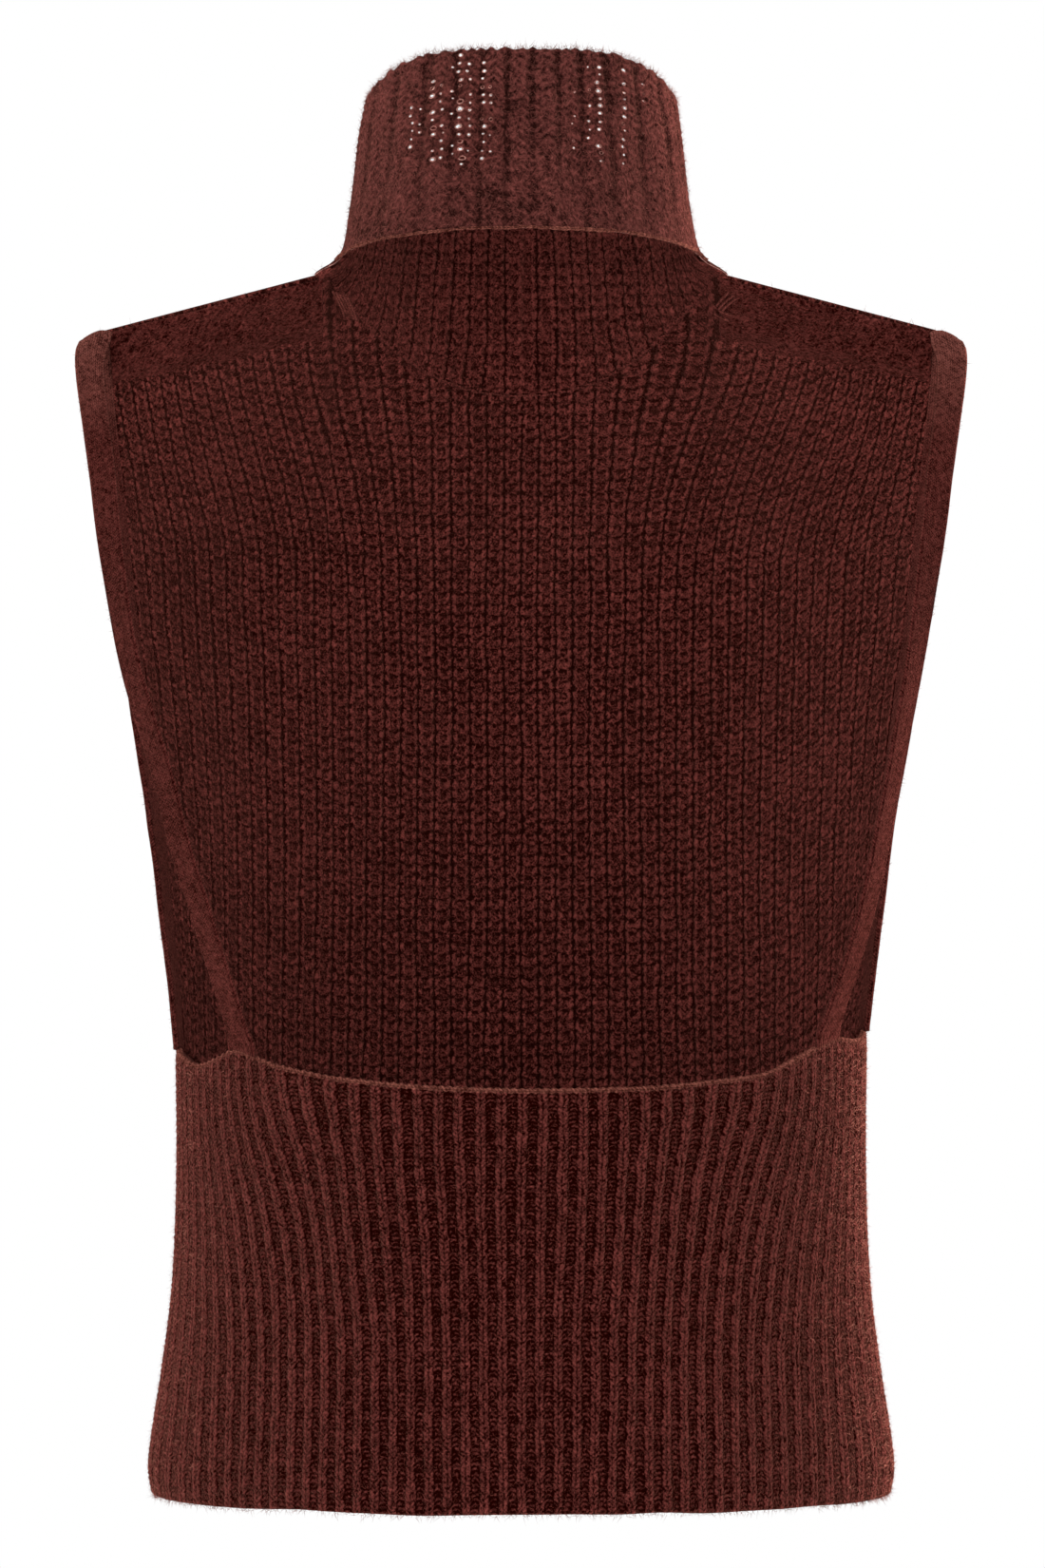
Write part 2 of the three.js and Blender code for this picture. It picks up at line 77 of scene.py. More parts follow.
WAISTBAND = {
    "height": [0, 12, 30, 50, 90, 140, 200],
    "half_width": [159.4, 160.8, 158.8, 155.6, 150.6, 148.6, 149.0],
    "half_depth": [98.0, 98.8, 97.6, 95.8, 93.2, 92.2, 92.0],
}
BACK_EDGE = {
    "turn": [0, 15, 25, 32, 38, 44, 50, 55, 61, 66, 70, 76, 82, 90],
    "left": [
        177.0, 178.2, 180.1, 181.7, 183.8, 186.2, 189.7, 192.3, 188.4, 185.6, 185.2, 186.7, 188.8, 191.0,
    ],
    "right": [
        177.0, 177.4, 178.3, 179.9, 181.0, 182.7, 187.3, 191.2, 195.1, 196.8, 196.0, 195.4, 196.4, 199.0,
    ],
}
FRONT_EDGE_MIDDLE = 160.0
FRONT_EDGE_CURVE = 6
PANEL = {
    "height": [160, 195, 230, 280, 330, 380, 430, 470, 500, 530],
    "half_width": [148.4, 148.4, 151.8, 156.8, 163.2, 170.0, 174.6, 177.6, 179.0, 179.4],
    "edge": [8, 8, 13, 21, 29, 34, 36, 36, 35, 34],
    "front": [92, 92, 95, 100, 105, 106, 104, 100, 97, 95],
    "wrap": [85, 85, 82, 76, 69, 61, 54, 49, 46, 45],
}
SIDE_STITCH_SPREAD = 0.1
SHOULDER_TURN = 120.0
SHOULDER_TURN_POWER = 1.5
NECK_HALF_WIDTH = 85.6
NECK_FRONT_DEPTH = 68.0
NECK_ROUND = 0.6
NECK_SIDE_HEIGHT = 526.8
NECK_DROP = 49.0
NECK_DROP_CURVE = 2.3
SHOULDER_SLOPE = 0.263
COLLAR = {
    "height": [477, 527, 537, 545, 560, 587, 602, 618],
    "half_width": [80.0, 77.4, 76.2, 74.8, 72.4, 69.2, 67.0, 65.8],
    "back": [64, 63, 62.6, 62, 61.4, 60.4, 60, 59.4],
    "front": [67.0, 63.0, 62.4, 62.0, 61.4, 60.6, 60.2, 59.6],
}
COLLAR_LEAN = 0.11
COLLAR_LEAN_START = 530.0
COLLAR_TOP_SIDE = 603.5
COLLAR_TOP_BACK_RISE = 15.0
COLLAR_TOP_FRONT_RISE = 11.0
COLLAR_BACK_EDGE = 541.0
COLLAR_BACK_EDGE_FALL = 6.0
COLLAR_BACK_EDGE_CURVE = 3
COLLAR_TOP_CURVE = 5
COLLAR_SIDE_STEP = 7.6
COLLAR_STEP_FROM = 84.0
FLARE_HEIGHT_SIDE = 3.2
FLARE_HEIGHT_FRONT = 22.0
FLARE_CURVE = 4
STRAP = {
    -1: {
        "height": [498.4, 492, 480, 459, 438, 417, 396, 375, 355, 336, 308, 280, 254, 228, 206, 194],
        "out": [
            185.2, 186.0, 185.2, 182.0, 178.8, 176.0, 172.8, 169.2,
            165.0, 159.6, 150.8, 143.8, 135.9, 128.0, 121.4, 118.0,
        ],
        "back": [4, 10, 15, 23, 32, 40, 48, 54, 58, 61, 64, 65, 64, 61, 56.2, 54.0],
        "turn": [0, 0, 6, 13, 18, 24, 32, 38, 40, 40, 38, 36, 36, 37, 38, 39],
    },
    1: {
        "height": [498.4, 492, 480, 459, 438, 417, 396, 375, 355, 336, 308, 280, 254, 228, 208, 199],
        "out": [
            185.2, 186.0, 185.2, 182.0, 178.8, 176.0, 172.8, 169.4,
            166.2, 162.6, 157.4, 151.9, 146.3, 139.2, 133.0, 130.2,
        ],
        "back": [4, 10, 15, 23, 32, 40, 47, 52, 55, 57, 59, 59, 57, 52, 45.6, 43.6],
        "turn": [0, 0, 6, 13, 20, 26, 34, 42, 48, 50, 51, 51, 51, 50, 49, 49],
    },
}
STRAP_DROOP = 0.34
DROOP_FROM = 459.0
DROOP_HEIGHT = 40.0
CREST_RISE = 0.958
BAND_FRONT_STATIONS = 12
SEAT_GAP = 0.9

# ---------------------------------------------------------------- sizes of the stitches

PANEL_COLUMNS = 46
PANEL_ROW = 4.9
RIB_SIDE_PERIOD = 7.7
RIBS_TO_SEAM = 24.5
RIB_TOP_PERIOD = 8.7
RIB_ROW_LOW = 2.08
RIB_ROW_TOP = 1.74
COLLAR_ROW = 3.4
COLLAR_FIRST_ROW = 620.0
COLLAR_INNER_COLUMN = 7.3
COLLAR_VALLEYS = np.concatenate([
    np.arange(-15, 0) * 10.8 - 67,
    [-67, -53.5, -40, -27, -16.2, -5.5, 5, 15.6, 24.6, 35.4, 48.4, 61],
    np.arange(1, 16) * 10.8 + 61,
])
LADDERS = (
    # x at the back, lowest and highest row, width, height, share of rows that are open
    (-46.8, 577, 597, 1.5, 1.3, 0.9),
    (-43.2, 580, 595, 0.9, 0.9, 0.4),
    (-37.4, 571, 611, 2.0, 1.5, 0.9),
    (-33.6, 572, 604, 1.1, 1.1, 0.7),
    (-29.2, 573, 611, 1.2, 1.0, 0.6),
    (-25.9, 568, 616, 2.3, 1.6, 0.97),
    (-22.0, 571, 614, 1.3, 1.2, 0.75),
    (-16.3, 571, 612, 1.7, 1.4, 0.9),
    (-12.8, 574, 608, 1.1, 1.1, 0.7),
    (22.3, 572, 606, 1.1, 1.1, 0.55),
    (28.6, 580, 612, 1.2, 1.1, 0.6),
    (33.2, 570, 611, 1.8, 1.5, 0.92),
    (44.0, 570, 611, 1.6, 1.4, 0.88),
    (52.0, 577, 606, 1.0, 1.0, 0.45),
)

# ---------------------------------------------------------------- soft folds

WAIST_FOLDS = (
    # distance from the middle, lean, width, lowest and highest place, depth
    (-96, 0.10, 15, 60, 175, -1.2), (-62, -0.05, 17, 20, 150, 0.8), (-20, 0.04, 20, 30, 150, -0.7),
    (34, -0.06, 18, 10, 140, 0.7), (71, 0.08, 16, 50, 170, -1.0), (118, -0.12, 14, 60, 185, 0.9),
    (-138, 0.06, 14, 20, 120, 0.8), (150, 0.05, 16, 10, 110, -0.8),
)
PANEL_FOLDS = (
    # the same, with places across and up the panel as shares of it
    (-0.62, 0.25, 0.10, 0.35, 1.0, 1.6), (-0.40, 0.18, 0.12, 0.25, 0.9, -1.3),
    (-0.12, 0.05, 0.13, 0.10, 0.75, 1.0), (0.16, -0.06, 0.12, 0.05, 0.70, -1.1),
    (0.45, -0.20, 0.11, 0.25, 0.95, 1.4), (0.70, -0.22, 0.09, 0.30, 1.0, -1.2),
    (-0.82, 0.05, 0.08, 0.0, 0.6, -1.2), (0.85, -0.04, 0.08, 0.0, 0.55, 1.2),
)
COLLAR_FOLDS = (
    # turn, width, lowest and highest place, depth
    (-58, 7, 540, 596, -1.3), (-40, 6, 540, 575, 0.9), (-27, 5, 545, 612, 0.7), (-8, 4.5, 548, 618, 0.9),
    (3, 4.0, 545, 618, -0.9), (12, 4.5, 560, 618, 0.8), (18, 3.6, 541, 600, -1.3), (30, 6, 545, 600, 0.8),
    (47, 7, 541, 590, -1.2), (66, 7, 545, 600, 0.9), (100, 8, 530, 600, -1.0), (128, 9, 510, 600, 1.2),
    (150, 8, 500, 590, -1.2), (172, 9, 490, 600, 1.1), (-168, 8, 495, 590, -0.9), (-142, 9, 505, 600, 1.2),
    (-118, 8, 520, 600, -1.0), (-88, 8, 540, 600, 0.8),
)

# ---------------------------------------------------------------- how far stitches stand out and sink

RIB_HEIGHT, RIB_SINK = 1.15, 0.75
PLAIN_HEIGHT, PLAIN_SINK = 1.3, 0.8
LOOP_HEIGHT, LOOP_SINK = 1.5, 0.9
COLLAR_HEIGHT, COLLAR_SINK = 1.4, 0.8
LINING_HEIGHT, LINING_SINK = 1.2, 0.7
STRAP_FOOT = 118.0
STRAP_PULL_SPREAD = 38.0
RIB_LEAN = 15.0
WIDE_RIB_REACH = 85.0

# ---------------------------------------------------------------- edges, holes and layers

SIDES = (("left", -1), ("right", 1))
SEAM_TURN = 90.05
SECTION_SAMPLES = 48
EDGE_FLAT = 0.12
HEM_WAVE = 1.1
HEM_FOOT = HEM_RISE - 0.012
HEM_OVERLAP = 0.2
COLLAR_COLUMNS = 400
COLLAR_ROWS = 96
COLLAR_MEAN_RADIUS = 66.0
COLLAR_TUCK = 1.4
LADDER_THICK = 1.5
HOLE_LOWEST, HOLE_HIGHEST = 0.05, 0.985
HOLE_FUNNEL = 1.3
HOLE_NARROW = 0.85
HOLE_FOLLOWERS = ((3, 0.2), (2, 0.5), (1, 0.9), (0, 1.0))
FAR_HOLE_WIDER = 1.4
FAR_HOLE_TALLER = 1.35
BAND_PITCH = 1.1
BAND_TUCK = 1.8
BAND_TUCK_ENDS = (305, 350)
CREST_TUCK = 2.2
CREST_SPREAD = 10.0
CREST_OUTER_DROP = 2.8
CREST_INNER_DROP = 1.5
FOOT_FLARE = 0.35
FOOT_FLARE_LENGTH = 5.0
FIBRE_ROOT = 0.3

# ---------------------------------------------------------------- the studio, in metres

CAMERA_PLACE = (0.0006, -3.0, -0.2212)
EYE = np.array(CAMERA_PLACE) / MM + [0, 0, HOLD_HEIGHT]  # the same, in the garment's millimetres
FRAME_HIGH = 0.6765
SENSOR = 36.0
FLOOR_LEVEL = -0.76
FLOOR_SPAN = 1.25
FLOOR_ROWS = 24


# ---------------------------------------------------------------- surfaces

def smooth(value, low=0.0, high=1.0):
    t = np.clip((value - low) / (high - low), 0, 1)
    return t * t * (3 - 2 * t)


def unit(vectors):
    """The same directions, with a length of 1."""
    return vectors / np.maximum(np.linalg.norm(vectors, axis=-1, keepdims=True), 1e-12)


def hermite(t, start, start_slope, end, end_slope):
    """Cubic curve between two values with given slopes."""
    return (
        (2 * t**3 - 3 * t**2 + 1) * start
        + (t**3 - 2 * t**2 + t) * start_slope
        + (3 * t**2 - 2 * t**3) * end
        + (t**3 - t**2) * end_slope
    )


def on_table(table, along, column, place):
    """One column of a table at places along another, on a smooth curve."""
    x = np.asarray(table[along], float)
    y = np.asarray(table[column], float)
    place = np.asarray(place, float)
    before = np.maximum(np.arange(len(x)) - 1, 0)
    after = np.minimum(np.arange(len(x)) + 1, len(x) - 1)
    slope = (y[after] - y[before]) / (x[after] - x[before])
    i = np.clip(np.searchsorted(x, place) - 1, 0, len(x) - 2)
    span = x[i + 1] - x[i]
    t = np.clip((place - x[i]) / span, 0, 1)
    return hermite(t, y[i], span * slope[i], y[i + 1], span * slope[i + 1])


def catmull(points, places):
    """Smooth curve through points, at places from 0 to 1."""
    points = np.asarray(points, float)
    last = len(points) - 1
    along = np.asarray(places) * last
    i = np.minimum(along.astype(int), last - 1)
    padded = np.concatenate([[2 * points[0] - points[1]], points, [2 * points[-1] - points[-2]]])
    p0, p1, p2, p3 = padded[i], padded[i + 1], padded[i + 2], padded[i + 3]
    return hermite((along - i)[:, None], p1, (p2 - p0) / 2, p2, (p3 - p1) / 2)


def back_edge_height(turn):
    left = on_table(BACK_EDGE, "turn", "left", np.abs(turn))
    right = on_table(BACK_EDGE, "turn", "right", np.abs(turn))
    return np.where(np.asarray(turn) < 0, left, right)


def front_edge_height(x):
    reach = np.minimum(np.abs(x) / WAISTBAND["half_width"][-1], 1)
    seam = np.where(np.asarray(x) < 0, BACK_EDGE["left"][-1], BACK_EDGE["right"][-1])
    return FRONT_EDGE_MIDDLE + (seam - FRONT_EDGE_MIDDLE) * reach**FRONT_EDGE_CURVE


def waistband_at(turn, height, front):
    angle = np.radians(turn)
    half_width = on_table(WAISTBAND, "height", "half_width", height)
    half_depth = on_table(WAISTBAND, "height", "half_depth", height)
    y = (1 if front else -1) * half_depth * np.cos(angle)
    return np.stack([half_width * np.sin(angle), y, height], -1)


def hem_wave(turn, rise, seed):
    """The hem hangs a little unevenly between the side seams."""
    return HEM_WAVE * drift(turn, 17, seed) * (1 - rise) ** 6 * np.cos(np.radians(turn))


def back_waistband(turn, rise):
    point = waistband_at(turn, back_edge_height(turn) * rise, False)
    return point + hem_wave(turn, rise, 17)[..., None] * [0, 0, 1]


def front_waistband(turn, rise):
    top = front_edge_height(WAISTBAND["half_width"][-1] * np.sin(np.radians(turn)))
    return waistband_at(turn, top * rise, True) + hem_wave(turn, rise, 18)[..., None] * [0, 0, 1]


def panel_section(height, across):
    """x and y of a panel section at even steps of its own length from the centre front."""
    height, across = np.broadcast_arrays(np.asarray(height, float), across)
    columns = ("half_width", "edge", "front", "wrap")
    half_width, edge, front, wrap = (on_table(PANEL, "height", column, height) for column in columns)
    wrap = np.radians(wrap)

    def at(angle):
        x = half_width * np.sin(angle) / np.sin(wrap)
        y = edge + (front - edge) * (np.cos(angle) - np.cos(wrap)) / (1 - np.cos(wrap))
        return x, y

    t = np.linspace(0, 1, SECTION_SAMPLES + 1).reshape(-1, *([1] * height.ndim))
    xs, ys = at(wrap * t)
    steps = np.hypot(np.diff(xs, axis=0), np.diff(ys, axis=0))
    lengths = np.concatenate([np.zeros_like(steps[:1]), np.cumsum(steps, 0)])
    target = across * lengths[-1]
    k = (lengths[1:-1] < target).sum(0)
    low = np.take_along_axis(lengths, k[None], 0)[0]
    high = np.take_along_axis(lengths, k[None] + 1, 0)[0]
    return at(wrap * (k + (target - low) / (high - low)) / SECTION_SAMPLES)


def stitch_spread(across, rise):
    spread = SIDE_STITCH_SPREAD * rise
    return across * (1 - spread + spread * across**2)


def top_edge_height(x):
    out = np.abs(x)
    neck = NECK_SIDE_HEIGHT - NECK_DROP * (1 - np.minimum(out / NECK_HALF_WIDTH, 1) ** NECK_DROP_CURVE)
    shoulder = NECK_SIDE_HEIGHT - SHOULDER_SLOPE * (out - NECK_HALF_WIDTH)
    return np.where(out >= NECK_HALF_WIDTH, shoulder, neck)


def top_edge_depth(x):
    out = np.minimum(np.abs(x) / NECK_HALF_WIDTH, 1)
    return NECK_FRONT_DEPTH * (1 - out**2) ** NECK_ROUND


def panel(across, rise):
    side = np.where(np.asarray(across) < 0, -1.0, 1.0)
    reach = np.minimum(np.abs(across), 1)
    rise = np.asarray(rise, float)
    reach, rise = np.broadcast_arrays(reach, rise)
    top_x = panel_section(NECK_SIDE_HEIGHT, stitch_spread(reach, 1))[0]
    foot_x = panel_section(FRONT_EDGE_MIDDLE, reach)[0]
    top = top_edge_height(top_x)
    foot = front_edge_height(side * foot_x) + PANEL_FOOT_GAP
    height = foot + (top - foot) * rise
    x, y = panel_section(height, stitch_spread(reach, rise))
    turned = np.clip((height - top + SHOULDER_TURN) / SHOULDER_TURN, 0, 1)
    y = y + (top_edge_depth(top_x) - y) * turned**SHOULDER_TURN_POWER
    return np.stack([side * x, y, height], -1)


def collar_foot(turn):
    reach = np.sin(np.radians(turn))
    step = COLLAR_SIDE_STEP * smooth(turn, COLLAR_STEP_FROM, 90)
    back = COLLAR_BACK_EDGE - COLLAR_BACK_EDGE_FALL * np.abs(reach) ** COLLAR_BACK_EDGE_CURVE - step
    front = top_edge_height(NECK_HALF_WIDTH * np.minimum(reach, 1)) + SEAM_GAP
    return np.where(np.asarray(turn) > 90, front, back)


def collar_top(turn):
    reach = np.sin(np.radians(turn))
    rise = np.where(np.asarray(turn) > 90, COLLAR_TOP_FRONT_RISE, COLLAR_TOP_BACK_RISE)
    return COLLAR_TOP_SIDE + rise * (1 - np.abs(reach) ** COLLAR_TOP_CURVE)


def collar(turn, rise):
    wrapped = (np.asarray(turn, float) + 540) % 360 - 180
    around = np.abs(wrapped)
    is_front = around > 90
    reach = np.sin(np.radians(around))
    foot = collar_foot(around)
    height = foot + (collar_top(around) - foot) * rise
    up = height - foot
    front_fade = FLARE_HEIGHT_FRONT + (FLARE_HEIGHT_SIDE - FLARE_HEIGHT_FRONT) * reach**FLARE_CURVE
    fade = np.where(is_front, front_fade, FLARE_HEIGHT_SIDE)
    sideways = np.where(is_front, 1.0, smooth(around, COLLAR_STEP_FROM, 90))
    flare = sideways * np.exp(-up / fade)
    foot_width = on_table(COLLAR, "height", "half_width", foot)
    half_width = on_table(COLLAR, "height", "half_width", height) + flare * (NECK_HALF_WIDTH - foot_width)
    back_depth = on_table(COLLAR, "height", "back", height)
    front_depth = on_table(COLLAR, "height", "front", height)
    ring_y = -np.where(is_front, front_depth, back_depth) * np.cos(np.radians(around))
    ring_y = ring_y + COLLAR_LEAN * np.maximum(height - COLLAR_LEAN_START, 0)
    seam_y = top_edge_depth(NECK_HALF_WIDTH * reach)
    y = ring_y + (seam_y - ring_y) * np.where(is_front, flare, 0)
    return np.stack([np.where(wrapped < 0, -1, 1) * half_width * reach, y, height], -1)


# ---------------------------------------------------------------- noise

def lattice_noise(x, y, seed):
    """Smooth noise from 0 to 1 with one lump for each unit of x and y."""
    table = np.random.default_rng(seed).random((64, 64))
    xi, yi = np.floor(x).astype(int), np.floor(y).astype(int)
    fx, fy = smooth(x - xi), smooth(y - yi)
    corner = lambda i, j: table[(xi + i) % 64, (yi + j) % 64]
    low = corner(0, 0) * (1 - fx) + corner(1, 0) * fx
    high = corner(0, 1) * (1 - fx) + corner(1, 1) * fx
    return low * (1 - fy) + high * fy


def wander(x, y, seed):
    """The same from -1 to 1, in two sizes of lump."""
    large = lattice_noise(x, y, seed) * 2 - 1
    small = lattice_noise(x * 2.3, y * 2.3, seed + 1) * 2 - 1
    return large * 0.7 + small * 0.3


def drift(place, length, seed):
    """The same along one line, with lumps of a given length."""
    return wander(place / length, place * 0, seed)


def soft_folds(rows, line, place, ease):
    """Troughs and ridges along lines, each fading in and out over lengths in ease at its two ends."""
    fold = 0.0
    for *where, width, low, high, depth in rows:
        begins = smooth(place, low - ease[0], low + ease[1])
        ends = 1 - smooth(place, high - ease[2], high + ease[3])
        fold = fold + depth * np.exp(-((line(*where) / width) ** 2)) * begins * ends
    return fold


# ---------------------------------------------------------------- numbers that are also shader sockets

class Socket:
    """A shader node's output that can be added, multiplied and so on."""

    def __init__(self, tree, output):
        self.tree, self.output = tree, output

    def math(self, operation, *others):
        node = self.tree.nodes.new("ShaderNodeMath")
        node.operation = operation
        for slot, value in zip(node.inputs, (self, *others)):
            if isinstance(value, Socket):
                self.tree.links.new(value.output, slot)
            else:
                slot.default_value = float(value)
        return Socket(self.tree, node.outputs[0])

    def __add__(self, other):
        return self.math("ADD", other)

    def __mul__(self, other):
        return self.math("MULTIPLY", other)

    def __sub__(self, other):
        return self.math("SUBTRACT", other)

    def __rsub__(self, other):
        return self.math("MULTIPLY", -1.0).math("ADD", other)

    __radd__ = __add__
    __rmul__ = __mul__


def either(name, plain):
    """A function of a number or array that also works on a socket, as the shader operation named."""

    def run(value, *rest):
        return value.math(name, *rest) if isinstance(value, Socket) else plain(value, *rest)

    return run


cosine = either("COSINE", np.cos)
magnitude = either("ABSOLUTE", np.abs)
root = either("SQRT", np.sqrt)
most = either("MAXIMUM", np.maximum)
least = either("MINIMUM", np.minimum)
fraction = either("FRACT", lambda value: value - np.floor(value))


def clamped(value):
    return most(least(value, 1.0), 0.0)


def dome(value, half):
    """1 at value 0, falling on a round curve to 0 at half to each side."""
    scaled = value * (1 / half)
    return root(most(1 - scaled * scaled, 0.0))


def beat(value):
    """A wave from 0 to 1 that repeats each unit."""
    return 0.5 + 0.5 * cosine(value * TAU)


# ---------------------------------------------------------------- stitches: u in ribs, v in rows

BRUSHED_LEVEL = 0.4


def rib_relief(u, v):
    """One-by-one rib: a column of plain V stitches, then a sunk purl column of small arcs."""
    x = magnitude(fraction(u + 0.5) - 0.5)
    leg = dome(x - 0.128, 0.125)
    slant = beat(v - x * 3.6)
    purl = dome(0.5 - x, 0.25)
    arcs = beat(v + 0.4 + (0.5 - x) * (0.5 - x) * 9.0)
    return leg * (0.56 + 0.44 * slant) + purl * (0.1 + 0.43 * arcs)


def loop_relief(u, v):
    """Wrong side of half-cardigan stitch: columns of open cups, one above the other."""
    x = magnitude(fraction(u) - 0.5)
    y = fraction(v)
    arm = dome(x - 0.24 - y * 0.11, 0.14) * (0.62 + 0.38 * beat(y - 0.66))
    bowl = x * x * 1.8 + 0.16
    bottom = most(dome(y - bowl, 0.22), dome(y - bowl - 1.0, 0.22)) * 0.68
    bridge = 0.14 + dome(y - 0.46, 0.36) * 0.26
    edge = most((x - 0.43) * 16, 0.0) * (0.75 + 0.25 * beat(y - 0.75))
    return most(most(arm, bottom), bridge + dome(x, 0.3) * 0.2) * most(1.0 - edge, 0.0)


def plain_relief(u, v):
    """Right side of half-cardigan stitch: fat columns of V stitches with deep lines between."""
    x = magnitude(fraction(u) - 0.5)
    leg = dome(x - 0.2, 0.23)
    return leg * (0.55 + 0.45 * beat(v - x * 1.7))


def collar_relief(u, v):
    """Loose brushed rib, clearer near the top: broad columns of V stitches with rungs between."""
    x = magnitude(fraction(u) - 0.5)
    leg = dome(x - 0.17, 0.24)
    rung = dome(0.5 - x, 0.2)
    stitches = leg * (0.5 + 0.5 * beat(v - x * 2.4)) + rung * (0.05 + 0.3 * beat(v + 0.3))
    clear = least(most(1.3 - v * 0.05, 0.35), 1.0)
    return (stitches - BRUSHED_LEVEL) * clear + BRUSHED_LEVEL


def jersey_relief(u, v):
    """Fine plain knit: small V stitches."""
    x = magnitude(fraction(u) - 0.5)
    return dome(x - 0.25, 0.26) * (0.45 + 0.55 * beat(v - x * 1.8))


def hem_relief(u, v):
    """Brushed flat: no stitches to be seen."""
    return BRUSHED_LEVEL + 0.02 + 0.0 * (u + v)


# ---------------------------------------------------------------- materials

UV_NAME = "stitch"
WOOL_SCALE = 950.0
HAIR_SCALE = 800.0
LUMP_SCALE = 260.0
CLOUD_SCALE = 18.0
WOOL_TILTS = ((0.3, 0.6, 0), (-0.3, -0.7, 0))
HAIR_TILTS = ((0.2, 0.5, 0), (-0.2, -0.6, 0), (0.5, 1.5, 0.2))
SHEEN_TINT = (1.0, 0.36, 0.27, 1)
# Colour of the painted highlight on the top of a band.
PAINTED_TIP_HIGHLIGHT = (0.25, 0.085, 0.066)


def material_with(name):
    material = bpy.data.materials.new(name)
    material.use_nodes = True
    tree = material.node_tree
    tree.nodes.clear()
    output = tree.nodes.new("ShaderNodeOutputMaterial")
    shader = tree.nodes.new("ShaderNodeBsdfPrincipled")
    tree.links.new(shader.outputs[0], output.inputs[0])
    return material, tree, shader


def fill(tree, node, inputs):
    """Gives a node's inputs their values, or links them to outputs."""
    for name, value in inputs.items():
        value = value.output if isinstance(value, Socket) else value
        if isinstance(value, bpy.types.NodeSocket):
            tree.links.new(value, node.inputs[name])
        else:
            node.inputs[name].default_value = value


def new_output(tree, kind, inputs=(), output=0, **settings):
    """One output of a new shader node."""
    node = tree.nodes.new("ShaderNode" + kind)
    for name, value in settings.items():
        setattr(node, name, value)
    fill(tree, node, dict(inputs))
    return node.outputs[output]


def object_place(tree):
    return new_output(tree, "TexCoord", output="Object")


def noise_node(tree, vector, scale, detail=3.0, roughness=0.6, distortion=0.0):
    inputs = {
        "Vector": vector, "Scale": scale, "Detail": detail, "Roughness": roughness, "Distortion": distortion,
    }
    return Socket(tree, new_output(tree, "TexNoise", inputs))


def stretched(tree, vector, length, turn):
    """Coordinates for noise that runs lengthwise along a tilted direction."""
    inputs = {"Vector": vector, "Scale": (1, 1, length), "Rotation": turn}
    return new_output(tree, "Mapping", inputs, vector_type="TEXTURE")


def mixed(tree, factor, low, high):
    """A colour between two, each a tuple or an output."""
    low, high = ((*colour, 1) if isinstance(colour, tuple) else colour for colour in (low, high))
    return new_output(tree, "Mix", {0: factor, 6: low, 7: high}, output=2, data_type="RGBA")


def hair_lines(tree, place, scale, tilt, length=5.0, fine=9.0):
    """Thin crossing lines, like single fibres lying on the yarn."""
    lines = 0.0
    for turn in tilt:
        noise = noise_node(tree, stretched(tree, place, length, turn), scale, 1.0, 0.5, 0.6)
        lines = most(1 - magnitude(noise - 0.5) * fine, lines)
    return lines


def wool_noise(tree, place, size):
    """Streaks of two tilts, one less the other, so that yarn looks spun and matted."""
    rising, falling = (
        noise_node(tree, stretched(tree, place, 3.2, tilt), WOOL_SCALE / size, 2.0, 0.6, 0.4)
        for tilt in WOOL_TILTS
    )
    return rising - falling


def stitch_noise(tree, uv):
    """One random value for each stitch."""
    whole = new_output(tree, "VectorMath", {0: uv}, operation="FLOOR")
    return Socket(tree, new_output(tree, "TexWhiteNoise", {"Vector": whole}, "Value", noise_dimensions="2D"))


def split_vector(tree, vector):
    return [Socket(tree, output) for output in new_output(tree, "SeparateXYZ", {0: vector}).node.outputs]


